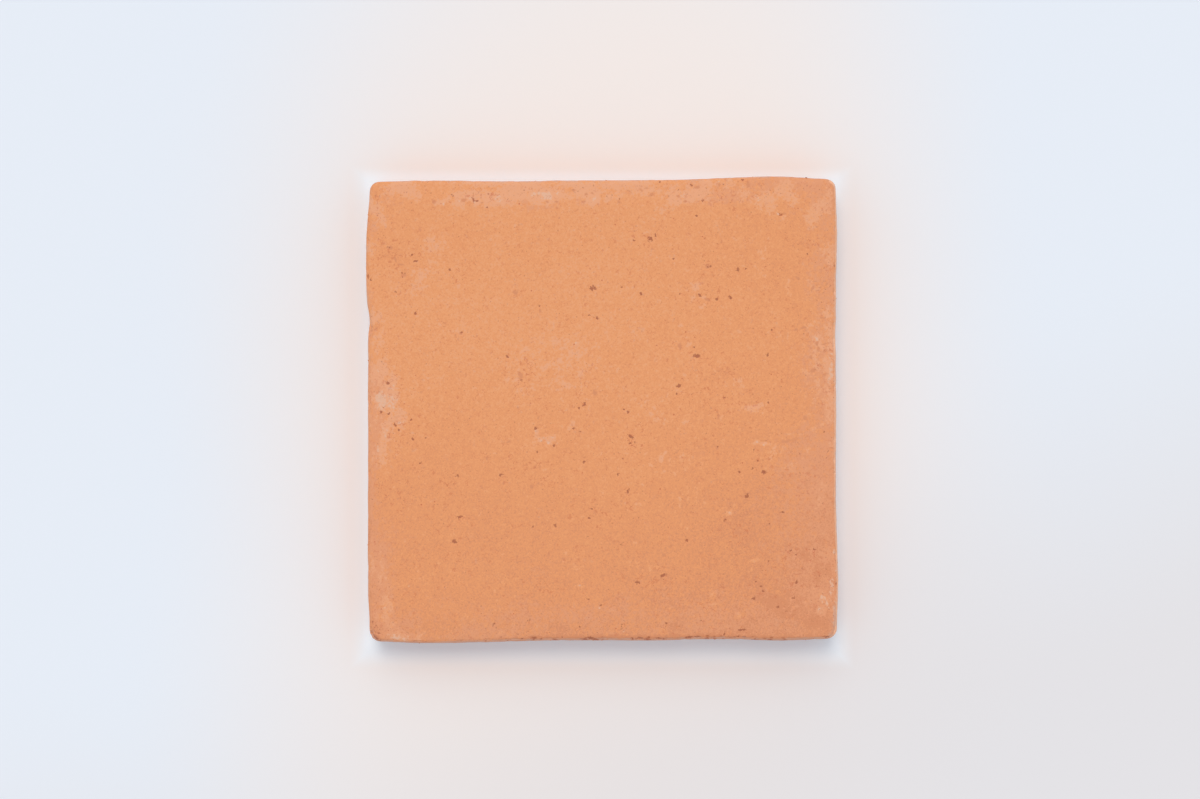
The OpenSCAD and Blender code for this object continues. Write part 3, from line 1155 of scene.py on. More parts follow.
PALE_PATCHES = as_marks(
    (-86, 95, 17, 7), (-82.5, 92.8, 9, 5), (-78, 92, 7, 6, 0.6), (-96.3, 86, 7, 6, 1, 120),
    (-94, 82, 4.5, 7, 1, 20), (-99, 88.5, 2.4, 8), (-68, 88.7, 7, 2, 1, 20), (-61, 88, 6, 5.5),
    (-61, 91.2, 8, 2.4), (-53, 91.5, 15, 7), (-45, 90, 13, 7), (-45, 97, 34, 3.4),
    (-37, 93, 15, 10), (-27, 96.5, 14, 3), (-24, 91, 22, 8), (-14, 96.8, 12, 3.4),
    (-7, 93.8, 13, 5), (-4, 90, 7, 4), (-13, 90, 4, 3, 0.8), (3, 90.5, 6, 5, 0.7),
    (9, 96.3, 30, 5), (18, 94.5, 10, 7, 0.9), (6, 92.5, 9, 4, 0.6), (25, 91, 8, 5, 0.5),
    (31, 91.5, 7, 10), (36.5, 92, 8, 9), (25, 85, 8, 9, 0.55), (41, 92, 12, 8, 0.9),
    (45.5, 96, 5, 4), (54.5, 96.3, 7, 4), (50, 97.3, 6, 2, 0.8), (61, 92, 7, 7, 0.6),
    (69.5, 89.5, 10, 6, 1, 160), (71, 87, 7, 6), (78, 94, 9, 8), (81.5, 91, 5, 8, 0.9, 20),
    (80, 88.5, 3, 3, 0.7), (97.3, 91, 3, 7, 1, 160), (94, 87.5, 12, 7, 1, 35),
    (90, 83, 6, 10, 1, 160), (95, 70, 5, 8, 0.6), (77.6, 82.2, 2.6, 1.4), (-97, 39, 5, 7),
    (-98.5, 68, 4, 12, 0.7), (-95.5, 28, 5, 12, 0.6), (-95, 17, 8, 9), (-89.5, 8, 5, 16),
    (-92, 5, 10, 10), (-91.8, -10, 4, 20, 1, -6), (-86, -4, 5.5, 7.5), (-93.5, -18, 4.4, 14),
    (-97.5, -20, 2.4, 5, 0.8), (-94, -67, 3, 14, 0.8), (-98.5, -66, 3, 10),
    (-91, -72, 2.4, 3, 0.7), (-92, -83, 5, 11, 1, -10), (-94, -87.5, 6, 5),
    (-90.8, -92, 9, 4.6, 1, 128), (-86.5, -96.5, 12, 5, 1, 165), (-79, -96, 5, 3.4, 0.7),
    (96.7, 40.4, 5, 5.4), (97.3, 31, 4.4, 12), (91, 30, 2.8, 2), (93.3, 27.8, 3, 5, 1, 20),
    (90.6, 25.5, 2.4, 2.8), (91.2, 21.8, 2.2, 4.6), (92.8, 17.5, 4, 4), (97.2, 18, 4.4, 15),
    (91.9, 12.5, 2.4, 5, 1, 10), (88.8, 36.6, 3.4, 2, 1, 150), (78.8, 30.3, 1.6, 1.4),
    (79.8, 52, 1.8, 9, 0.8), (91.4, 51.9, 2.4, 1.4), (88.2, 52.7, 1.8, 1.8),
    (98.5, 66, 5, 12, 0.8), (97, 2, 5, 16, 0.8), (94, -33, 6, 6, 0.75), (92.5, -38.8, 4, 6, 0.75),
    # The long mark at (102, 0) lightens the whole east arris, partly as bloom and partly as
    # painted light.
    (96, -62, 8, 8, 0.8), (94.5, -80.5, 6, 7), (93, -85.5, 4, 4), (102, 0, 6, 210),
    (-71, 68, 14, 9, 0.6, 120), (-77, 56, 15, 7, 0.55, 50), (-16, 18, 40, 30, 0.3),
    (64.5, 1.2, 9, 3.4, 1, 8), (68, -14.6, 8, 1.8), (72.6, -16.5, 2.4, 2, 0.9),
    (86.5, -17, 2.2, 3.6, 0.8), (84, -10.6, 1.6, 1.2), (80, -24, 8, 4, 0.6), (54, -43.5, 2.4, 2),
    (65, -65, 4.4, 1.8), (64, -68, 2, 1.6), (46.7, -77.5, 3, 2), (50.5, -77.7, 1.8, 1.4),
    (47.8, -82.7, 3.2, 1.4), (57.8, -86, 2.6, 2.4), (53.5, -92.5, 2.6, 2.2), (30, -84.7, 1.6, 1.4),
    (3.2, -85.5, 2.4, 2.2), (-42.5, -82.8, 1.8, 1.6),
)

BLOOM_PATCHES = as_marks(
    (-67.8, 88.3, 1.3, 1), (-61.4, 88.8, 1, 1.4), (-56.3, 90.6, 1.4, 2.6, 0.75),
    (-54.8, 88.9, 0.9, 1.2), (-50.3, 89.5, 0.9, 0.9, 0.8), (-44, 90, 4, 3.4, 0.62),
    (-39.8, 92.4, 1.6, 2.4, 0.66), (-28, 92, 7, 2.4, 0.7), (-23.6, 91.2, 4.8, 3.4, 1.15),
    (-25.5, 90.2, 3, 2, 0.7), (-18.8, 92.3, 1.2, 2.4, 1, 160), (-8.3, 96.3, 2, 1.6, 0.7),
    (-3.8, 89.7, 1.6, 1.4), (-4.8, 88.8, 1.3, 0.8), (-2, 89, 0.9, 0.9, 0.8),
    (34.8, 91.3, 2.6, 1.6, 0.75), (31.8, 93, 1, 1, 0.7), (36.5, 94, 0.9, 0.9, 0.7),
    (33.5, 88.7, 0.9, 0.9, 0.7), (49.5, 97.2, 2.2, 1, 0.7), (51.6, 96.2, 0.9, 0.9, 0.7),
    (66.9, 90.3, 3.4, 1.4, 0.9, 125), (68.3, 88.7, 1.6, 1), (72.2, 89.3, 1.8, 1.4, 0.75),
    (74.6, 83.6, 1, 0.9), (-94.3, 4.3, 4.2, 8), (-90, 3, 6, 9, 0.62), (-88.9, 10, 1.3, 3.4, 0.8),
    (-90.3, 9.2, 2.6, 0.9, 0.8), (-95.3, 16.7, 1.3, 1.1), (-85.9, -5, 2.4, 1.4),
    (-88.7, 0, 1.1, 1.3), (-95.3, -6.5, 0.9, 1.1), (-92.6, -9.4, 2, 5.4, 0.72),
    (-95.6, -16.5, 1.8, 4.4, 0.66, 20), (-93.6, -20, 0.9, 0.9, 0.8), (-92.8, -85.3, 1.4, 3, 0.72),
    (-88.5, -96.8, 5.6, 2.8, 0.9, 160), (-84, -97.5, 4.4, 2, 0.72), (-82.4, -96, 0.9, 0.9, 0.7),
    (91, 30.2, 1.2, 0.8, 1.3), (98.2, 24.4, 2, 1.2), (97, 22.4, 1, 2, 0.7),
    (97.9, 17, 1.8, 9, 0.8), (97.2, 12.3, 2.2, 4, 0.66), (97.2, 31.6, 1.8, 1.6, 0.6),
    (99.4, 24.4, 1, 4, 0.8), (99.5, 12, 1, 5, 0.8), (99.5, 37, 0.9, 3), (98.3, -74, 2, 6.4),
    (97.7, -78, 1.4, 5.4), (96.3, -82, 1.1, 4, 1, -15), (93.8, -80.6, 3, 3, 0.9),
    (90, -82.6, 1.4, 1.4, 0.75), (92.6, -85, 3, 2.6, 0.75), (99.3, -88, 2.2, 12, 0.75),
    # The long mark at (101.2, 0) runs along the whole east arris, partly bloom and partly painted
    # light.
    (99.2, -61, 1.6, 3, 0.8), (101.2, 0, 4.4, 230, 0.75), (-12.3, -5.8, 0.9, 0.9),
    (66.4, -14.3, 1.3, 1.1, 1.1), (69.2, -14.8, 1.8, 1.1, 1.1), (54.6, -43.6, 1.4, 1.8),
    (-9.6, -74.9, 1.4, 1.2, 1.2, 30), (-20.8, 29.5, 0.9, 0.9), (-10.6, 28.4, 0.7, 0.7),
    (-7.2, -91.2, 1, 1, 1.2), (-6.6, -95.8, 0.9, 1.2, 1.3), (10, -94, 0.9, 1.5, 1.3),
    (-0.5, -84.9, 1.2, 0.9, 1.2), (-67, -76, 1, 1.2, 0.9), (-82, -75.4, 1.2, 1, 0.8),
    (-28.4, -9, 1.4, 1.2), (-26.7, -11.5), (-25.5, -12.8, 1.2, 1.6), (-24.6, -12),
    (-22.3, -14, 1.2, 1.2), (-21.4, -11.6, 0.8, 1.2),
)

FLECKED_AREAS = as_marks(
    (-16, 18, 44, 34, 0.9), (20, 0, 26, 16), (-72, 60, 26, 30, 0.8, 150), (92, 20, 18, 70),
    (-92, 0, 20, 50), (40, 50, 12, 14, 0.8), (-25, -12, 16, 14), (64, 1, 16, 10),
    (60, 14, 28, 14, 0.6), (53, -44, 16, 14), (38, -38, 20, 14, 0.9), (40, -50, 12, 8, 0.9),
    (30, -23, 20, 16), (72, -17, 22, 14), (18, -68, 20, 16, 0.9), (-10, -70, 24, 14, 0.9),
    (-24, -50, 10, 14, 0.8), (-40, -78, 36, 12, 0.8), (-76, -75, 20, 20, 0.7),
    (-56, -50, 20, 20, 0.5), (84, -80, 20, 24, 0.8), (64, 65, 20, 30, 0.6), (66, 36, 14, 14, 0.6),
    (-20, 29, 8, 8), (-62, 34, 12, 8, 0.7), (-73, 13, 14, 8, 0.6), (-60, -92, 70, 14, 0.7),
    (50, -84, 12, 10, 0.6),
)

SPECKLED_AREAS = as_marks(
    (-87, 67, 18, 16), (-88, 52, 14, 22, 0.8), (-90, 10, 12, 16, 0.8), (-90, -8, 14, 14, 0.9),
    (-66, 30, 18, 12, 0.7, 30), (-60, 60, 12, 14, 0.5), (-36, 16, 14, 16, 0.8),
    (-36, 51, 10, 12, 0.5), (-5, 43, 10, 20, 0.6), (18, 74, 14, 10, 0.7), (12, 54, 16, 16, 0.6),
    (44, 60, 10, 8, 0.7), (42, 50, 30, 12, 0.7), (38, 25, 14, 10, 0.7), (87, 70, 12, 12, 0.8),
    (77, 37, 26, 16, 0.6), (50, 4, 24, 40, 0.6), (66, 6, 10, 10, 0.7), (70, -22, 22, 14, 0.6, 150),
    (87, -33, 8, 12, 0.6), (12, -13, 10, 12), (-8, 4, 10, 30, 0.5, 160), (-30, -25, 34, 20, 0.7),
    (-62, -31, 12, 10, 0.7), (-88, -30, 24, 28, 0.6), (-52, -22, 10, 10, 0.6),
    (-4, -45, 12, 10, 0.7), (10, -36, 10, 16, 0.6), (-60, -52, 28, 30, 0.5),
    (57, -54, 12, 14, 0.7), (14, -73, 12, 12, 0.6), (27, -74, 14, 20, 0.7), (52, -84, 34, 18, 0.8),
    (85, -65, 28, 20, 0.8), (-78, -66, 16, 14, 0.5), (-62, -66, 16, 20, 0.6),
    (-25, -78, 10, 10, 0.6), (-85, -90, 12, 10, 0.5), (95, 18, 8, 30, 0.8), (-50, 89, 24, 8, 0.8),
    (50, 92, 40, 12, 0.6), (-94, 86, 12, 16, 0.7),
)

FAINT_SPOTS = as_marks(
    (41.4, 29.5), (47.8, 15.1), (52.1, 16, 1, 2), (43.7, 13.2), (40.5, 13.3, 1.4, 0.6),
    (38.7, -7.7), (39.7, -0.6), (46.3, 1), (49.1, -0.9), (29.2, 2.9, 1.2, 1.6), (9.1, 5),
    (42.9, 1.3), (38.7, -4.7), (30.2, 34.1), (27.9, 37.9), (24.6, 35.7), (16.9, 33.5), (2.5, 25),
    (34.9, 19.5), (6.6, -16.7), (9.7, -17), (8.3, -12.5), (31.5, -18.3, 1.6, 0.7), (1.7, -21.1),
    (49, -16.3, 1.6, 1.2), (-38.6, 47), (-7.9, 46.3), (-5.2, 46.3), (-7, 41.9), (-13.4, 39.5),
    (-7.3, 48.2), (-10.6, 68.4), (-7.2, 63.6), (-1.7, 67.9), (-6.8, 74.4), (-27, 72.5),
    (-29.7, 71.3), (-35, 73.2), (-36.7, 75.4, 1.3, 0.7), (-41.2, 71.3), (-44.5, 68.7),
    (-33.9, 64.1), (-37.2, 65.5), (-48, 65.2), (-26, 62.4), (-25.5, 59.2), (-25.4, 54.9),
    (-29, 55.2), (-47.2, 55.9, 0.8, 1.4), (-48, 59.4), (-43.3, 59.3), (-35.8, 54.1), (-48, 75),
    (-32.5, 80.3), (-18.4, 81.8), (-24.5, 79.3), (-7.9, 79.3), (-30.9, 42.3), (-34.8, 50.5),
    (-53.5, 63.3), (50.9, 71.6, 1, 1.4), (56.6, 72.7), (38, 61.4), (53.3, 78.7),
    (14.5, 78.3, 1.2, 1), (13.6, 76.3, 1.4, 0.6), (4.3, 73.4), (7.4, 81.4), (36.7, 55.4),
    (33.1, 54.2), (37.8, 52.6), (36.2, 51.5), (38.1, 46), (22.4, 52.4), (19.7, 53.8), (25.4, 55.7),
    (15, 51.1), (2.5, 54.4), (53, 53), (21.5, 68.6, 1.4, 0.5), (-4, 11.2), (-16, 10), (-34, 8),
    (-36, 0.8), (-27.3, -3.5, 0.8, 1.6), (-8, 34), (-45, -18.5), (-32, -18), (-41.5, -11.5),
    (-19.5, -13.7), (-80.6, 35.2, 1.2, 1), (-79.9, 36.6), (-90, 36.8), (-66.8, 36.9), (-76.3, 35),
    (-68.3, 31.5), (-62.5, 32), (-61, 30.8, 0.8, 1.6), (-55.5, 31.2), (-53.2, 31.6), (-84, 30.8),
    (-67.6, 23.6), (-69, 25.5), (-69.7, 27.4), (-66.5, 26.6), (-77.3, 7.5, 1.2, 1), (-74.2, 11.6),
    (-67.4, 13.2, 0.7, 1.2), (-60.5, 16.2), (-57.6, 17.4), (-86.5, 2), (-84, 2.7), (-82.1, -1.9),
    (-82.3, -5.3), (-85.4, -21.1), (-85.2, -25.3), (-73.9, -26.9), (-76, -24.9), (-77.9, -25.5),
    (-81, -16.7), (-64.8, -28.8), (-63.1, -26.9), (-64.7, -33.5), (-58.1, -32.5), (-81.2, -33.2),
    (-83.3, -32.4), (-89.4, -32.4), (-77.8, -37.7), (-74.9, -37.4, 1.4, 1.2), (-79.4, -37.2),
    (-86.9, -37.7), (-84.7, -41.9), (-63.7, -47.4), (-57.6, -47.7), (-54.1, -52.2, 0.9, 1.4),
    (-53.4, -55, 1, 1.4), (-52.1, -58.4), (-57.9, -55.3), (-75.5, -57.4), (-17.2, -24.8),
    (-26.1, -24.2), (-42, -31), (-45.1, -32.5), (-41.3, -33.8), (-27, -31.3, 0.9, 1.4), (-36, -31),
    (-37.4, -27.5), (-34.7, -27.5), (-16.2, -28.4), (-27.4, -29.8), (-31.9, -42, 1.4, 1.2),
    (-25.5, -48, 1.2, 1.6), (-23.7, -51.8, 1.4, 1), (-26.8, -53.7), (-34.7, -50.7), (-9, -42),
    (-2.7, -44.6), (-0.2, -46.9, 1.4, 1.2), (-29.7, -56.7), (-24.9, -56.9), (-19.9, -56.7),
    (-22.6, -61.1, 1, 1.6), (-16.7, -63.1, 1.6, 0.8, 1, 30), (-18.4, -65.7, 0.8, 1.6),
    (-36.1, -62), (8.9, -52.1, 1.2, 1.2), (9.2, -53.8), (6.5, -52.1), (12, -48.9), (13.7, -55.3),
    (17.2, -54), (31.6, -52.7, 1.4, 1), (32.2, -57), (42.1, -42.5), (25, -35.6), (33.1, -35.6),
    (47.9, -32.1, 1.4, 1), (47.3, -27.5, 0.8, 1.6), (56, -29.5, 1, 1.8), (8.2, -38.8, 1.4, 1.2),
    (9.1, -37.7), (7.9, -40), (3.6, -38.2), (5, -57), (18.9, -60.8, 1.4, 1.6), (26.4, -62, 2, 1.6),
    (57.7, -52.4, 2.4, 2), (47.9, -62.5), (57.7, -60.2, 1.6, 1), (3.3, -68.3), (10.8, -67.2),
    (17.7, -66.9),
)

PALE_DOTS = as_marks(
    (-20.5, 28.5, 2.4, 3), (-10.5, 28.5, 2, 2), (-9.7, 25.5, 1.4, 1.4), (-16.5, 26.5, 4, 1.4),
    (-32, 26.3, 3, 2), (-34, 24.6, 1.6, 1.6), (-27, 24.6, 1.4, 1.2), (-12.5, 23.4, 2.4, 1.4),
    (-18, 21.2, 3.2, 2), (-25, 17.8, 4.5, 1.8, 1, 20), (-17, 18, 2.5, 1.6), (-13, 18, 3.5, 2),
    (-9.5, 15.7, 3, 2.4), (-21.5, 19.6, 2, 1), (-34.5, 22, 2, 1.6), (-40, 12.8, 2, 2.4),
    (-36.7, 13, 1.6, 2.4), (-17, 11.3, 4, 1.6), (-19, 8.4, 2, 1.6), (-13.8, 9.8, 1.6, 1.2),
    (-22.5, 11, 1.6, 1), (-9, 9, 2, 1), (-25.5, 8, 1.4, 1), (-12.5, -5.2, 1.6, 2.6),
    (-13.8, -7.4, 2, 1.6), (-28, -9.4, 2, 3), (-26.5, -12, 5, 3, 1, 150), (-22.5, -12.5, 4.5, 4),
    (-20.3, -11, 1.4, 2.4), (36.8, 27.9, 2, 2), (20.7, 37.5, 1, 1.2), (18.3, 35.7, 1.2, 1),
    (33.2, 35.9, 2, 2), (40.1, 14.3, 1.6, 0.8), (35.1, 14.8, 2, 0.8), (37.9, 7.8, 1.4, 1),
    (31.8, 8.5, 1.2, 1), (12.3, 4, 2, 1.4), (8.6, 1.6, 1, 1.2), (17.1, 1.6, 1.4, 1.4),
    (15.2, -1.8, 1.6, 1.8), (21, -1.5, 2, 1.8), (22, 1, 1.6, 1.6), (25.2, -2.3, 1.2, 1),
    (6.4, 16.8, 0.8, 2), (27.1, -9, 1.2, 1.2), (35.4, -5.4, 3, 1.6), (25, -20.9, 2.2, 3.2),
    (26.8, -18.4, 1.6, 1.4), (32.6, -19.2, 1.4, 1.2), (35.4, -20.6, 5, 4, 0.6),
    (52.3, -12.8, 1.2, 1.6), (52, -8.4, 1.4, 0.8), (-37.1, 78.5, 1.8, 1.6),
    (-47.5, 73.1, 0.9, 1.4), (-8.1, 69.3, 1.4, 0.9), (-12.1, 76.3, 1.8, 0.9),
    (-37.4, 53.1, 1.2, 1), (-31.6, 44.6, 1.4, 1.2), (-6.1, 44.7, 1, 1.2), (-3.2, 48.4),
    (40.3, 52.7, 3.2, 3), (39.8, 50.9, 2, 2.4), (38.6, 47.9, 4, 3, 0.6), (43.5, 47.9, 2, 1.6),
    (42.5, 45.5, 1.4, 1), (48.3, 49.4, 1, 1), (18.6, 75.9, 2.6, 1.6), (16.4, 78, 1.2, 1.4),
    (14.3, 80.6, 1.2, 0.8), (18.3, 80, 1.6, 0.6), (23.3, 65.2, 1.2, 1), (30.5, 68.4, 0.8, 2),
    (58.1, 57.4, 1.2, 1), (10.3, 50.4, 1, 1), (-69, 36.6, 1.6, 2), (-70.6, 37.5, 1.2, 0.8),
    (-74, 35.8, 0.9, 1.4), (-62, 34.2, 1.6, 3, 1, 30), (-58.5, 34, 1, 1.2), (-66.3, 30.3),
    (-71, 28.2, 1.2, 0.8), (-71.8, 25.2, 2, 1), (-73.6, 14, 1.4, 1), (-68.9, 13.6, 1, 1),
    (-74, 9.5, 0.9, 0.9), (-56.9, 11.4, 0.7, 1.6), (-54.2, 9.3, 1.8, 1.4), (-57.6, 7.2, 1.4, 0.9),
    (-51.6, 7.2, 1.2, 1), (-50, -17.9, 1, 1), (-57.6, -49.5, 1.2, 0.8), (-51.8, -44.5, 1, 1.4),
    (26.3, -25.9, 1.8, 1.2), (32.8, -40, 1.4, 1.6, 1, 130), (33.7, -41.1, 1.2, 1),
    (36.6, -37.6, 0.9, 1.8), (36.4, -35, 0.6, 1.6), (9.9, -39.2, 1, 1.2), (6.6, -29.2, 0.9, 0.9),
    (-4.1, -44.5, 0.7, 0.9), (54.4, -47, 1.2, 1.2), (50.8, -48.3, 1.6, 1.2, 1, 30),
    (53.1, -43.7, 1, 1), (-15.7, -60.9, 1.4, 0.8), (-17, -64.6, 1.6, 0.8), (-24.7, -25.8, 1.4, 1),
    (14, -56.7, 2, 1),
)


@dataclass
class TileBody:
    """The one fired slab, with a skin that carries its relief and its marks.

    Attributes:
        form: The slab's outline and section.
        finish: The clay's finish.
        step: Size of the mesh's faces on the wearing face.
        flank_step: Height of the faces on the flanks.
        arris_step: Greatest height of the faces on the arrises.
        bed_inset: Width of the strip in which the bed face's mesh grows coarser.
        scoop_margin: How far round a bite the mesh is finer.
        scoop_bounds: How far from a bite's own size the mesh is never finer.
        spot_margin: How far round a small spot the mesh is finer.
        pits: How many small pits are scattered on the wearing face, and on the flanks.
        chips: How many small chips are scattered round each arris.
        dot_share: How strong the small pale dots are beside the pale patches.
        faint_share: How strong the faint spots are beside the smudges.
        old_share: How strongly the scattered chips take the darker colour of broken clay and
            painted shade beside the placed ones, from 0 to 1.
        sag_depth: Depth of the broad waves of the wearing face.
        sag_span: Length of those waves.
        dimple_depth: Depth of the wearing face's dimples.
        dimple_span: Size of the dimples.
        drag_depth: Depth of the drag lines and the lumps on the flanks.
        drag_span: Length of the drag lines.
        lump_span: Size of the lumps.
        sand_depth: Depth of the sandy relief of the bed face.
        sand_span: Size of its shapes.
        crumble_depth: Depth to which the arrises have crumbled.
        crumble_span: Size of the crumbled places.
        arris_reach: How far from the middle of the top arris it counts as near.
        shaded_rim_width: Width of the strip of painted shade along the south edge.
        north_shade_share: How strong the painted shade along the north edge is beside the south
            edge, from 0 to 1.
        rusty_shaded_sill_width: Width of the strip along the south edge that is darkened, partly
            as rust and partly as painted shade.
        narrow_rim_width: Width of the strip along the east edge, partly lime bloom and partly
            painted light; the painted shade along the north edge is as wide.
        seed: Which of all such tiles it is.
        WEARING_FROM: Height from which the clay is marked, as a share of the tile's.
        FINER_FROM: Height from which spots make the mesh finer, as a share of the tile's.
        EDGE_FROM: Where a straight edge's strips begin, as a share of the way out to it.
    """

    form: SlabForm
    finish: FiredClayFinish
    step: float = 1.23
    flank_step: float = 1.4
    arris_step: float = 0.4
    bed_inset: float = 2.0
    scoop_margin: float = 0.6
    scoop_bounds: float = 0.8
    spot_margin: float = 0.75
    pits: int = 150
    chips: int = 70
    dot_share: float = 0.95
    faint_share: float = 0.75
    old_share: float = 0.17
    sag_depth: float = 0.16
    sag_span: float = 75.0
    dimple_depth: float = 0.07
    dimple_span: float = 11.0
    drag_depth: float = 0.2
    drag_span: float = 14.0
    lump_span: float = 8.0
    sand_depth: float = 0.35
    sand_span: float = 4.0
    crumble_depth: float = 0.45
    crumble_span: float = 4.0
    arris_reach: float = 2.0
    shaded_rim_width: float = 1.15
    north_shade_share: float = 0.5
    rusty_shaded_sill_width: float = 2.6
    narrow_rim_width: float = 0.9
    seed: int = 7

    WEARING_FROM = 0.8
    FINER_FROM = 0.9
    EDGE_FROM = 0.96

    def plain_draft(self) -> MeshDraft:
        """Mesh the slab evenly, in rings up its section and a grid on each face.

        Returns:
            The draft of its mesh.
        """
        lengths = np.ptp(self.form.outlines[self.form.widest][:, 1:], axis=0) / MM
        across, along = (2 * round(length / self.step / 2) for length in lengths)
        bearings = self.form.even_bearings([along, across, along, across])
        arris, turns = min(self.arris_step, self.step), self.form.ARRIS_BANDS
        spacings = [arris] * self.form.foot + [self.flank_step] + [arris] * turns
        spacings += [self.step] * (len(self.form.heights) - 1 - len(spacings))
        rings = [self.form.ring(s, bearings) for s in self.form.stations(spacings)]

        draft = MeshDraft([], [])
        numbers = [draft.add(ring) for ring in rings]
        for lower, upper in zip(numbers, numbers[1:]):
            draft.strip(lower, upper)
        self.close_face(draft, rings[-1], numbers[-1], across, along)
        self.close_bed(draft, rings[0], numbers[0], across // 2, along // 2)
        return draft

    def close_face(
        self, draft: MeshDraft, ring: np.ndarray, numbers: np.ndarray, across: int, along: int
    ) -> None:
        """Close the wearing face with a grid inside its last ring.

        Args:
            draft: The mesh so far.
            ring: Points of the last ring.
            numbers: Their numbers in the draft.
            across: Steps of the grid from west to east.
            along: Steps of the grid from south to north.
        """
        grid = grid_numbers(numbers, across, along)
        rim = ring[np.clip(grid - numbers[0], 0, None)]
        inside = draft.add(fill_grid(rim)[1:-1, 1:-1])
        grid[1:-1, 1:-1] = inside
        draft.sheet(grid, upside_down=False)

    def close_bed(
        self, draft: MeshDraft, ring: np.ndarray, numbers: np.ndarray, across: int, along: int
    ) -> None:
        """Close the bed face with a coarser grid, as its steps are twice as long.

        Args:
            draft: The mesh so far.
            ring: Points of the first ring.
            numbers: Their numbers in the draft.
            across: Steps of the grid from west to east.
            along: Steps of the grid from south to north.
        """
        reach = np.linalg.norm(ring, axis=1, keepdims=True)
        inner = (ring * (1 - self.bed_inset * MM / reach))[::2]
        coarse = draft.add(inner)
        for k, (near, far) in enumerate(zip(coarse.tolist(), np.roll(coarse, -1).tolist())):
            first, middle, last = (int(numbers[(2 * k + i) % len(numbers)]) for i in range(3))
            draft.faces += [(near, middle, first), (near, far, middle), (far, last, middle)]
        grid = grid_numbers(coarse, across, along)
        rim = inner[np.clip(grid - coarse[0], 0, None)]
        grid[1:-1, 1:-1] = draft.add(fill_grid(rim)[1:-1, 1:-1])
        draft.sheet(grid, upside_down=True)

    def chip(
        self,
        bearing: float,
        length: float,
        deep: float,
        lift: float,
        rise: float = 0.9,
        turn_share: float = 0.6,
    ) -> Scoop:
        """Bite a chip out of an arris.

        Args:
            bearing: Where round the tile it lies, in radians.
            length: Its length along the arris.
            deep: Its depth.
            lift: How far off the clay the bite is centred, which makes it flatter.
            rise: Above 0 on the arris of the wearing face, below 0 on that of the bed face.
            turn_share: How far round the top arris it lies, from 0 at the flank to 1.

        Returns:
            The bite.
        """
        top = self.form.widest + self.form.ARRIS_BANDS * turn_share
        level = top if rise > 0 else 1.0
        here, outward, turn = self.form.edge_at(level, bearing)
        out = np.array([*outward, rise])
        centre = here + lift * out / np.linalg.norm(out)
        reach = length / 2 / math.sqrt(1 - (lift / (lift + deep)) ** 2)
        return Scoop(tuple(centre), (reach, lift + deep, lift + deep), tuple(out), turn)

    def arris_chips(self, random: np.random.Generator, top: bool) -> list[Scoop]:
        """Scatter small chips round one arris, and add the larger old ones of the top one.

        Args:
            random: Where the chances come from.
            top: Whether it is the arris of the wearing face, or that of the bed face.

        Returns:
            The bites that make them.
        """
        found = []
        for _ in range(self.chips):
            bearing = random.uniform(-math.pi, math.pi)
            length = random.uniform(1.0, 2.6) ** 1.5
            deep, lift = random.uniform(0.12, 0.45), random.uniform(0.4, 1.2)
            rise = random.uniform(0.5, 1.4) * (1 if top else -1)
            found.append(self.chip(bearing, length, deep, lift, rise))
        if top:
            old = [(-97, -95, 10.0, 1.1, 2.5), (-100, 34, 8.0, 0.6, 2.0)]
            old += [(-100, 72, 4.0, 0.5, 1.0), (-100, -47, 5.0, 0.45, 1.0)]
            old += [(33, 98, 4.0, 0.4, 1.0), (100, 29, 5.0, 0.4, 1.0)]
            found += [self.chip(math.atan2(y, x), *size) for x, y, *size in old]
        return found

    def placed_chips(self, random: np.random.Generator) -> list[Scoop]:
        """Crumble the south arris where this tile's did, and add its other fresh chips.

        Args:
            random: Where the chances come from.

        Returns:
            The bites that make them.
        """
        spans = [(-62, -58, 0.25), (-50, -48.5, 0.25), (-42, -39.5, 0.3), (-35, -33.5, 0.3)]
        spans += [(-32, -27.5, 0.45), (-26, -25, 0.25), (-23, -22, 0.25), (-21, -19, 0.25)]
        spans += [(-8.8, -3, 0.7), (-2.8, 0.5, 0.35), (12.3, 13.6, 0.4), (14.8, 20.3, 0.55)]
        spans += [(23.4, 25.2, 0.45), (26.3, 28, 0.4), (29, 30.5, 0.25), (36, 39.2, 0.5)]
        spans += [(40, 43.5, 0.35), (43.5, 46.3, 0.55), (47, 48.8, 0.4), (50, 52.3, 0.4)]
        spans += [(53.5, 56, 0.3), (57, 61.3, 0.4), (62.8, 66, 0.35), (68.5, 70, 0.35)]
        spans += [(71.8, 73.4, 0.45), (77.5, 80, 0.3), (95, 97, 0.4), (-80, -76, 0.3)]
        found = []
        for start, end, most in spans:
            for _ in range(math.ceil((end - start) * 1.3)):
                bearing = math.atan2(-98, random.uniform(start, end))
                deep, lift = random.uniform(0.15, most), random.uniform(0.3, 0.7)
                rise, share = random.uniform(1.0, 2.2), random.uniform(0.5, 0.78)
                length = random.uniform(0.9, 2.6)
                found.append(self.chip(bearing, length, deep, lift, rise, share))
        others = [(-100, 57, 3.0, 0.4, 1.0), (100, -74, 1.8, 0.4, 0.7), (100, 62, 2.0, 0.35, 0.8)]
        found += [self.chip(math.atan2(y, x), *size) for x, y, *size in others]
        return found

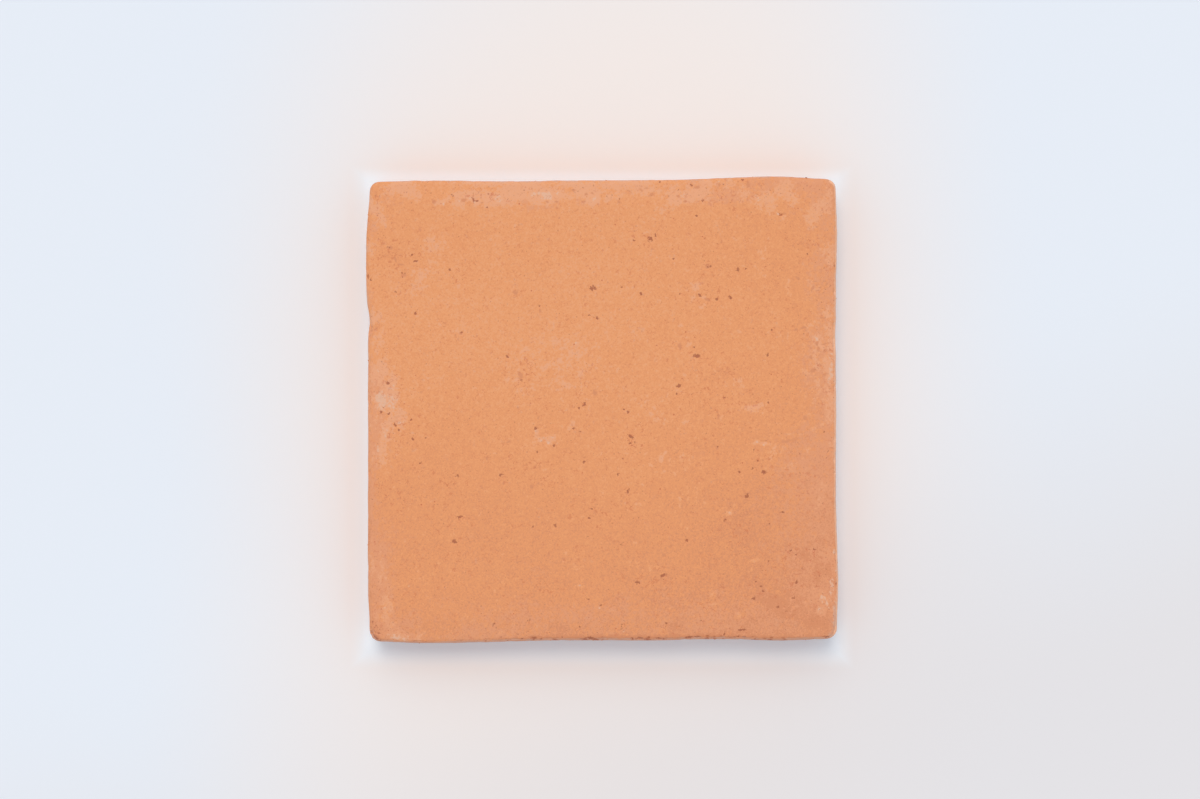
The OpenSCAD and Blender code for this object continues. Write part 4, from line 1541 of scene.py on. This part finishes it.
    def face_pits(self, random: np.random.Generator) -> list[Scoop]:
        """Scatter small pits over the wearing face, and add the placed ones.

        Args:
            random: Where the chances come from.

        Returns:
            The bites that make them.
        """
        top = self.form.heights[-1] / MM
        half = np.array([np.ptp(self.form.outlines[-1][:, k]) for k in (1, 2)]) / 2 / MM
        found = []
        for _ in range(self.pits):
            x, y = random.uniform(-1, 1, 2) * half
            radius = random.uniform(0.3, 0.75)
            deep = random.uniform(0.12, 0.3)
            found.append(self.pit(x, y, top, (radius, radius * random.uniform(0.6, 1)), deep))
        placed = [(-25, -11.5, 4.2, 2.2, 0.15, 150), (76.5, 83.2, 1.5, 0.9, 0.4, 165)]
        placed += [(-54, 89.5, 1.5, 1.2, 0.4, 0), (-94.5, 4.5, 2.2, 3.0, 0.3, 10)]
        placed += [(-87, -5, 3.2, 3.0, 0.25, 30), (64.5, 2, 4.0, 1.2, 0.2, 5)]
        placed += [(-84.5, 57.5, 1.6, 1.5, 0.25, 0), (69, -14, 3.0, 1.3, 0.2, 0)]
        for x, y, long, wide, deep, turn in placed:
            found.append(self.pit(x, y, top, (long, wide), deep, turn))
        for spot in IRON_SPOTS[::2]:
            size = spot.length / 2 + 0.15, spot.width / 2 + 0.15
            found.append(self.pit(spot.x, spot.y, top, size, 0.16, spot.turn))
        return found

    def flank_pits(self, random: np.random.Generator) -> list[Scoop]:
        """Scatter pits and small gouges over the flanks.

        Args:
            random: Where the chances come from.

        Returns:
            The bites that make them.
        """
        foot = self.form.foot
        low, high = (self.form.heights[level] / MM for level in (foot, foot + 1))
        found = []
        for _ in range(self.pits):
            bearing = random.uniform(-math.pi, math.pi)
            here, outward, turn = self.form.edge_at(foot + random.uniform(0, 1), bearing)
            radius = random.uniform(0.35, 1.1)
            lift = radius * 0.8
            deep = random.uniform(0.15, 0.45)
            centre = (*(here[:2] + outward * lift), random.uniform(low, high))
            radii = (radius * random.uniform(1, 2.4) + deep, lift + deep, radius + deep)
            found.append(Scoop(centre, radii, (*outward, 0), turn))
        return found

    @staticmethod
    def pit(
        x: float, y: float, top: float, size: tuple[float, float], deep: float, turn: float = 0.0
    ) -> Scoop:
        """Bite a pit of the given half sizes and depth out of the wearing face.

        Args:
            x: Place east of the middle.
            y: Place north of the middle.
            top: Height of the face.
            size: Half sizes of the pit's mouth.
            deep: Its depth.
            turn: Degrees from east to the first half size.

        Returns:
            The bite.
        """
        lift = max(0.6 * min(size), deep)
        grown = 1 / math.sqrt(1 - (lift / (lift + deep)) ** 2)
        radii = (size[0] * grown, size[1] * grown, lift + deep)
        return Scoop((x, y, top + lift), radii, (0, 0, 1), turn)

    def crowded(
        self, points: np.ndarray, scoops: Sequence[Scoop], spots: Sequence[Mark]
    ) -> np.ndarray:
        """Tell which points lie near something small that has to show.

        Args:
            points: Points in metres, one in each row.
            scoops: Bites that will be taken out of the slab.
            spots: Spots that will be coloured on its wearing face.

        Returns:
            Whether each point lies near one of them.
        """
        near = np.zeros(len(points), bool)
        for scoop in scoops:
            far = np.abs(points / MM - np.array(scoop.centre)).max(axis=1)
            close = far < max(scoop.radii) + self.scoop_bounds
            picked = np.flatnonzero(close)
            offset = scoop.local(points[picked] / MM - np.array(scoop.centre))
            margin = 1 + self.scoop_margin / min(scoop.radii[:2])
            near[picked[(offset**2).sum(axis=1) < margin**2]] = True
        up = points[:, 2] > self.FINER_FROM * points[:, 2].max()
        for spot in spots:
            near |= up & (spot.reach(points) < 1 + 2 * self.spot_margin / spot.width)
        return near

    def carry(self, mesh: bpy.types.Mesh, name: str, values: np.ndarray) -> None:
        """Let the mesh carry a number at each of its points."""
        layer = mesh.attributes.new(name, "FLOAT", "POINT")
        layer.data.foreach_set("value", values.astype(np.float32))

    def weathering(self, material: bpy.types.Material) -> bpy.types.NodeTree:
        """Build the tree that gives the skin its waves, dimples, drag lines and crumbling.

        Args:
            material: What the skin is made of.

        Returns:
            The tree, with an input for each depth in metres, for the seed and for the clay.
        """
        numbers = dict.fromkeys(("Sag", "Dimple", "Drag", "Sand", "Crumble", "Seed"), "Float")
        tree, w, given = new_shaper(
            "weathered_skin", {"Skin": "Geometry", **numbers, "Clay": "Material"}
        )
        place = w.node("GeometryNodeInputPosition").outputs[0]
        facing = w.node("GeometryNodeInputNormal").outputs[0]
        up = w.node("ShaderNodeSeparateXYZ", {0: facing}).outputs[2]
        face_share = w.between(up, 0.3, 0.9)
        bed_share = w.between(up, -0.3, -0.9)
        flank_share = w.math("SUBTRACT", w.math("SUBTRACT", 1.0, face_share), bed_share)

        def wave(span: float, order: float, detail: float = 2.0, where: Value = place) -> Socket:
            """Add smooth noise from -1 to 1 with shapes of the given size."""
            seed = w.math("ADD", given["Seed"], order)
            return w.math("MULTIPLY_ADD", w.cloud(where, span, seed, detail), 2.0, -1.0)

        streaked = w.vector("MULTIPLY", place, (1.0, 1.0, 5.0))
        sag = w.product(wave(self.sag_span, 1.1), given["Sag"])
        dimple = w.product(wave(self.dimple_span, 2.2, 4.0), given["Dimple"])
        drag = w.product(wave(self.drag_span, 3.3, 5.0, streaked), given["Drag"])
        lump = w.product(wave(self.lump_span, 4.4), given["Drag"])
        sand = w.math("SUBTRACT", wave(self.sand_span, 5.5, 4.0), 1.0)
        sand = w.product(sand, given["Sand"])
        crumble = w.between(wave(self.crumble_span, 6.6, 3.0), -0.05, 0.6)
        edge = w.node(
            "GeometryNodeInputNamedAttribute", {"Name": "arris"}, data_type="FLOAT"
        ).outputs[0]
        crumble = w.product(crumble, edge, given["Crumble"])

        rise = w.total(
            w.product(w.total(sag, dimple), face_share),
            w.product(w.total(drag, lump), flank_share),
            w.product(sand, 0.5, bed_share),
            w.product(crumble, -1.0),
        )
        shift = w.vector("SCALE", facing, rise)
        moved = w.node("GeometryNodeSetPosition", {0: given["Skin"], "Offset": shift})
        solid = w.node("GeometryNodeRealizeInstances", {0: moved.outputs[0]})
        dressed = w.node(
            "GeometryNodeSetMaterial", {0: solid.outputs[0], "Material": given["Clay"]}
        )
        w.node("NodeGroupOutput", {0: dressed.outputs[0]})
        return tree

    def build(self) -> bpy.types.Object:
        """Build the tile's skin and dress it.

        Returns:
            The finished piece.
        """
        noise.seed_set(self.seed)
        random = np.random.default_rng(self.seed)
        scattered = self.arris_chips(random, top=True) + self.arris_chips(random, top=False)
        chips = self.placed_chips(random)
        pits = self.face_pits(random) + self.flank_pits(random)
        draft = self.plain_draft()
        points, spots = np.concatenate(draft.points), IRON_SPOTS + SMUDGES + FAINT_SPOTS
        mesh = draft.finer(self.crowded(points, scattered + chips + pits, spots)).mesh("tile_body")

        points = mesh_points(mesh)
        wearing = points[:, 2] > self.WEARING_FROM * self.form.heights[-1]
        self.carry(mesh, "arris", self.arris_share(points))
        for name, values in self.markings(points).items():
            self.carry(mesh, name, values * wearing)
        faint, broken_and_shaded, worn = np.zeros((3, len(points)))
        for scoops, depth in ((scattered, faint), (chips, broken_and_shaded), (pits, worn)):
            for scoop in scoops:
                scoop.cut(points, depth)
        # The chips' depth darkens them, partly as broken clay and partly as painted shade in the
        # hollows.
        self.carry(mesh, "broken_and_shaded", np.maximum(broken_and_shaded, self.old_share * faint))
        mesh.vertices.foreach_set("co", points.astype(np.float32).ravel())

        material = self.finish.material()
        piece = new_piece("tile_skin", mesh)
        inputs = {
            "Sag": self.sag_depth * MM,
            "Dimple": self.dimple_depth * MM,
            "Drag": self.drag_depth * MM,
            "Sand": self.sand_depth * MM,
            "Crumble": self.crumble_depth * MM,
            "Seed": float(self.seed),
            "Clay": material,
        }
        piece = baked(piece, self.weathering(material), inputs)
        shade_smooth(piece)
        return piece

    def markings(self, points: np.ndarray) -> dict[str, np.ndarray]:
        """Tell how strongly points are marked, as if all lay on the wearing face.

        Args:
            points: Points in metres, one in each row.

        Returns:
            A number for each point, from 0 to about 1, by the name of the marking.
        """
        loose = wandered(wandered(points, 12.0, 6.0), 3.5, 2.0)
        near = wandered(points, 2.5, 1.0)
        ragged = wandered(near, 9.0, 2.0)
        south = self.rim_share(points, 1, -1, self.shaded_rim_width)
        north = self.north_shade_share * self.rim_share(points, 1, 1, self.narrow_rim_width)
        rusty_shaded_sill = self.rim_share(points, 1, -1, self.rusty_shaded_sill_width)
        dots = self.dot_share * strongest(PALE_DOTS, points, 1.5)
        faint = self.faint_share * strongest(FAINT_SPOTS, points, 1.5)
        return {
            # Painted shade: the south arris, the north arris at half strength and the rims round
            # the south-east corner.
            "strip": south + north + strongest(SHADED_MAUVE_RIMS, near, 1.5),
            # Rust and painted shade along the crumbled south arris.
            "rusty_shaded_sill": rusty_shaded_sill * strongest(RUSTY_SHADED_SILL, points, 1.6),
            # Lime bloom and painted light along the east arris.
            "limed_and_lit": self.rim_share(points, 0, 1, self.narrow_rim_width),
            "iron": strongest(IRON_SPOTS, points, 1.5),
            "pale": np.maximum(strongest(PALE_PATCHES, ragged, 1.5), dots),
            "bloom": strongest(BLOOM_PATCHES, near, 1.5),
            "fleck": strongest(FLECKED_AREAS, loose, 1.3),
            "speck": strongest(SPECKLED_AREAS, loose, 1.3),
            "veil": strongest(DUSTY_EDGES, loose, 1.5),
            "rust": 0.9 * strongest(RUSTY_AREAS, ragged, 1.4),
            "smudge": np.maximum(strongest(SMUDGES, near, 1.4), faint),
        }

    def arris_share(self, points: np.ndarray) -> np.ndarray:
        """Tell how near points lie to the top arris, from 1 on it to 0 away from it."""
        turn = self.form.ring(self.form.widest + 3, np.arctan2(points[:, 1], points[:, 0]))
        away = np.linalg.norm(turn - points, axis=1)
        return np.exp(-((away / (self.arris_reach * MM)) ** 2))

    def rim_share(self, points: np.ndarray, axis: int, side: int, width: float) -> np.ndarray:
        """Tell how deep points lie in a strip along one edge of the wearing face.

        Args:
            points: Points in metres, one in each row.
            axis: 0 for the east or west edge, 1 for the north or south edge.
            side: 1 for the east or north edge, -1 for the west or south edge.
            width: Width of the strip.

        Returns:
            A number from 0 inside the strip's inner line and on the flank to 1 at the edge.
        """
        rim = self.form.ring(self.form.widest, np.arctan2(points[:, 1], points[:, 0]))
        inset = np.linalg.norm(rim[:, :2] - points[:, :2], axis=1) / MM
        at_edge = side * points[:, axis] > self.EDGE_FROM * np.abs(rim[:, axis]).max()
        lift = (points[:, 2] - self.form.heights[self.form.widest]) / MM
        return np.clip(1.5 - inset / width, 0, 1) * at_edge * np.clip(lift + 1, 0, 1)


def wandered(points: np.ndarray, span: float, size: float) -> np.ndarray:
    """Shift points by smooth noise, which makes what is laid over them ragged.

    Args:
        points: Points in metres, one in each row.
        span: Size of the noise's shapes, in millimetres.
        size: Greatest shift, in millimetres.

    Returns:
        The shifted points.
    """
    shifts = [noise.noise_vector(Vector(point)) for point in points / (span * MM)]
    return points + np.array(shifts) * size * MM


def strongest(marks: Sequence[Mark], points: np.ndarray, reach: float) -> np.ndarray:
    """Lay marks over each other.

    Args:
        marks: The marks.
        points: Points in metres, one in each row.
        reach: How far a mark fades out, where 1 is its rim.

    Returns:
        How strongly each point is marked, from 0 to 1, with 0.5 near a mark's rim.
    """
    found = np.zeros(len(points))
    for mark in marks:
        found = np.maximum(found, mark.strength * np.clip(reach - mark.reach(points), 0, 1))
    return found


def mesh_points(mesh: bpy.types.Mesh) -> np.ndarray:
    """Read a mesh's points in metres, one in each row."""
    flat = np.empty(3 * len(mesh.vertices))
    mesh.vertices.foreach_get("co", flat)
    return flat.reshape(-1, 3)


def new_piece(name: str, mesh: bpy.types.Mesh) -> bpy.types.Object:
    """Put a mesh into the scene as an object of its own."""
    piece = bpy.data.objects.new(name, mesh)
    bpy.context.scene.collection.objects.link(piece)
    return piece


def baked(
    piece: bpy.types.Object, tree: bpy.types.NodeTree, inputs: dict[str, Any]
) -> bpy.types.Object:
    """Run a piece through a node tree and keep the result as a plain mesh.

    Args:
        piece: The piece that the tree starts from.
        tree: The tree.
        inputs: Values for the tree's inputs, by name.

    Returns:
        The same piece with its new mesh and no modifier.
    """
    modifier = piece.modifiers.new(tree.name, "NODES")
    modifier.node_group = tree
    for socket in tree.interface.items_tree:
        if socket.in_out == "INPUT" and socket.name in inputs:
            modifier[socket.identifier] = inputs[socket.name]
    graph = bpy.context.evaluated_depsgraph_get()
    mesh = bpy.data.meshes.new_from_object(
        piece.evaluated_get(graph), preserve_all_data_layers=True, depsgraph=graph
    )
    piece.modifiers.remove(modifier)
    piece.data = mesh
    return piece


def shade_smooth(piece: bpy.types.Object) -> None:
    """Shade all faces of a piece smoothly."""
    mesh = piece.data
    mesh.polygons.foreach_set("use_smooth", [True] * len(mesh.polygons))
    mesh.update()


@dataclass
class BodyStones:
    """Small stones of the clay's body, half sunk in the flanks.

    Attributes:
        skin: The tile's skin, which the stones sit in.
        finish: Their finish.
        density: Stones on each square centimetre of the flanks.
        small: Least size of a stone.
        large: Greatest size of a stone.
        seed: Which of all such scatters it is.
    """

    skin: bpy.types.Object
    finish: StoneFinish
    density: float = 1.6
    small: float = 0.35
    large: float = 1.3
    seed: int = 3

    def scatter(self) -> bpy.types.NodeTree:
        """Build the tree that strews stones over a skin and sinks them in it.

        Returns:
            The tree, with inputs for the density, the sizes, the seed and the stone.
        """
        numbers = {"Density": "Float", "Small": "Float", "Large": "Float", "Seed": "Int"}
        tree, w, given = new_shaper(
            "strewn_stones", {"Skin": "Geometry", **numbers, "Stone": "Material"}
        )
        facing = w.node("GeometryNodeInputNormal").outputs[0]
        up = w.node("ShaderNodeSeparateXYZ", {0: facing}).outputs[2]
        share = w.between(w.math("ABSOLUTE", up), 0.4, 0.2)
        strewn = w.node(
            "GeometryNodeDistributePointsOnFaces",
            {
                "Mesh": given["Skin"],
                "Density": w.product(share, given["Density"]),
                "Seed": given["Seed"],
            },
        )
        chance = self.chance(w, given["Seed"], 1, 0.0, 1.0)
        size = w.math("POWER", chance, 2.5)
        spread = w.math("SUBTRACT", given["Large"], given["Small"])
        size = w.math("MULTIPLY_ADD", size, spread, given["Small"])
        stone = w.node("GeometryNodeMeshUVSphere", {"Segments": 8, "Rings": 5, "Radius": 0.5})
        turned = w.node(
            "FunctionNodeAlignRotationToVector", {"Vector": strewn.outputs["Normal"]}, axis="Z"
        )
        spun = w.node(
            "FunctionNodeRotateRotation",
            {0: turned.outputs[0], 1: self.spin(w, given["Seed"])},
            rotation_space="LOCAL",
        )
        flat = w.node(
            "ShaderNodeCombineXYZ",
            {
                0: size,
                1: w.product(size, self.chance(w, given["Seed"], 2, 0.6, 1.0)),
                2: w.product(size, self.chance(w, given["Seed"], 3, 0.35, 0.6)),
            },
        )
        placed = w.node(
            "GeometryNodeInstanceOnPoints",
            {
                "Points": strewn.outputs["Points"],
                "Instance": stone.outputs["Mesh"],
                "Rotation": spun.outputs[0],
                "Scale": flat.outputs[0],
            },
        )
        tinted = w.node(
            "GeometryNodeStoreNamedAttribute",
            {
                "Geometry": placed.outputs[0],
                "Name": "tint",
                "Value": self.chance(w, given["Seed"], 4, 0.0, 1.0),
            },
            data_type="FLOAT",
            domain="INSTANCE",
        )
        solid = w.node("GeometryNodeRealizeInstances", {0: tinted.outputs[0]})
        place = w.node("GeometryNodeInputPosition").outputs[0]
        lumps = w.math("MULTIPLY_ADD", w.cloud(place, 0.9, 9.0), 0.5, -0.25)
        shift = w.vector("SCALE", facing, w.product(lumps, MM))
        knobbly = w.node("GeometryNodeSetPosition", {0: solid.outputs[0], "Offset": shift})
        dressed = w.node(
            "GeometryNodeSetMaterial", {0: knobbly.outputs[0], "Material": given["Stone"]}
        )
        w.node("NodeGroupOutput", {0: dressed.outputs[0]})
        return tree

    @staticmethod
    def chance(w: Wiring, seed: Socket, order: int, low: float, high: float) -> Socket:
        """Give each stone a number of its own.

        Args:
            w: The wiring of the tree.
            seed: The seed of the scatter.
            order: Which of the stones' numbers it is.
            low: The least it can be.
            high: The most it can be.

        Returns:
            The number.
        """
        node = w.node("FunctionNodeRandomValue", data_type="FLOAT")
        floats = [s for s in node.inputs if s.type == "VALUE"]
        w.feed(floats[0], low)
        w.feed(floats[1], high)
        w.feed(node.inputs["Seed"], w.math("ADD", seed, float(10 * order)))
        return next(s for s in node.outputs if s.type == "VALUE")

    def spin(self, w: Wiring, seed: Socket) -> Socket:
        """Turn each stone by an angle of its own about its upright axis."""
        angle = self.chance(w, seed, 5, 0.0, 2 * math.pi)
        turn = w.node("ShaderNodeCombineXYZ", {2: angle}).outputs[0]
        return w.node("FunctionNodeEulerToRotation", {0: turn}).outputs[0]

    def build(self) -> bpy.types.Object:
        """Build the stones as one piece.

        Returns:
            The finished piece.
        """
        piece = new_piece("body_stones", self.skin.data.copy())
        inputs = {
            "Density": self.density * 1e4,
            "Small": self.small * MM,
            "Large": self.large * MM,
            "Seed": self.seed,
            "Stone": self.finish.material(),
        }
        piece = baked(piece, self.scatter(), inputs)
        shade_smooth(piece)
        return piece


@dataclass
class Studio:
    """The pale floor, the soft light and the camera above the tile.

    Attributes:
        tile_top: Height of the wearing face in metres.
        floor_size: Length of the floor's sides.
        sky_strength: Light that comes evenly from all round, where 1 alone would be plain.
        sky_tint: Colour of that light, in linear light.
        key_share: Light that comes from above the north side, on the same scale.
        low_share: Light that comes from lower in the north, on the same scale.
        lamp_tint: Colour of both those lights, in linear light.
        lens: Focal length of the camera.
        sensor: Width of the camera's sensor.
        frame_width: Width of what the camera sees at the wearing face.
        aim: Place above which the camera hangs.
    """

    tile_top: float
    floor_size: float = 6000.0
    sky_strength: float = 0.67
    sky_tint: tuple[float, float, float] = (0.97, 1.0, 1.04)
    key_share: float = 0.265
    low_share: float = 0.09
    lamp_tint: tuple[float, float, float] = (1.0, 0.93, 0.82)
    lens: float = 85.0
    sensor: float = 36.0
    frame_width: float = 511.6
    aim: tuple[float, float] = (-0.9, 4.45)

    def add_floor(self) -> None:
        """Lay the floor under the tile."""
        half = self.floor_size * MM / 2
        mesh = bpy.data.meshes.new("floor")
        corners = [(-half, -half, 0), (half, -half, 0), (half, half, 0), (-half, half, 0)]
        mesh.from_pydata(corners, [], [(0, 1, 2, 3)])
        mesh.materials.append(FloorFinish().material())
        floor = new_piece("floor", mesh)

    def add_world(self) -> None:
        """Surround the scene with even light, and show a pale wall where it is seen."""
        world = bpy.data.worlds.new("even_light")
        world.use_nodes = True
        world.node_tree.nodes.clear()
        w = Wiring(world.node_tree)
        tint = (*self.sky_tint, 1.0)
        light = w.node("ShaderNodeBackground", {"Color": tint, "Strength": self.sky_strength})
        wall = w.node("ShaderNodeBackground", {"Color": Tone.FLOOR_COOL.rgba, "Strength": 1.0})
        rays = w.node("ShaderNodeLightPath").outputs
        seen = w.math("MAXIMUM", rays["Is Camera Ray"], rays["Is Glossy Ray"])
        seen = w.math("MAXIMUM", seen, rays["Is Transmission Ray"])
        mixed = w.node(
            "ShaderNodeMixShader", {0: seen, 1: light.outputs[0], 2: wall.outputs[0]}
        )
        w.node("ShaderNodeOutputWorld", {0: mixed.outputs[0]})
        bpy.context.scene.world = world

    def add_lamp(self, name: str, share: float, tilt: float, side: float, spread: float) -> None:
        """Hang a wide soft light over the north side.

        Args:
            name: Its name.
            share: Its share of the light on a level face.
            tilt: Degrees from straight above to it, towards the north.
            side: Degrees from straight above to it, towards the west.
            spread: Its width in degrees.
        """
        data = bpy.data.lights.new(name, "SUN")
        data.energy = share * math.pi / math.cos(math.radians(tilt))
        data.angle = math.radians(spread)
        data.color = self.lamp_tint
        lamp = bpy.data.objects.new(name, data)
        lamp.rotation_euler = (-math.radians(tilt), -math.radians(side), 0)
        bpy.context.scene.collection.objects.link(lamp)

    def add_camera(self) -> None:
        """Hang the camera straight above, with north at the top of the picture."""
        data = bpy.data.cameras.new("overhead_camera")
        data.lens = self.lens
        data.sensor_width = self.sensor
        camera = bpy.data.objects.new("overhead_camera", data)
        height = self.frame_width * MM * self.lens / self.sensor
        camera.location = (self.aim[0] * MM, self.aim[1] * MM, self.tile_top + height)
        bpy.context.scene.collection.objects.link(camera)
        bpy.context.scene.camera = camera

    def build(self) -> None:
        """Set the whole studio up."""
        self.add_floor()
        self.add_world()
        self.add_lamp("key_light", self.key_share, tilt=22, side=5, spread=24)
        self.add_lamp("low_light", self.low_share, tilt=42, side=6, spread=40)
        self.add_camera()
        bpy.context.scene.view_settings.view_transform = "Standard"


def report(piece: bpy.types.Object) -> None:
    """Log a piece's name and how many triangles it has."""
    triangles = sum(len(p.vertices) - 2 for p in piece.data.polygons)
    LOG.info("%s: %d triangles", piece.name, triangles)


def main() -> None:
    """Build the tile and its studio, and hand the pieces to the frame."""
    logging.basicConfig(level=logging.INFO, format="%(message)s")
    form = SlabForm.of_node(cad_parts[TILE_NODE])

    Studio(tile_top=form.heights[-1]).build()

    skin = TileBody(form, FiredClayFinish()).build()
    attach(skin, BODY)
    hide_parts(TILE_NODE)
    report(skin)

    stones = BodyStones(skin, StoneFinish()).build()
    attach(stones, BODY)
    report(stones)


if __name__ == "__main__":
    main()
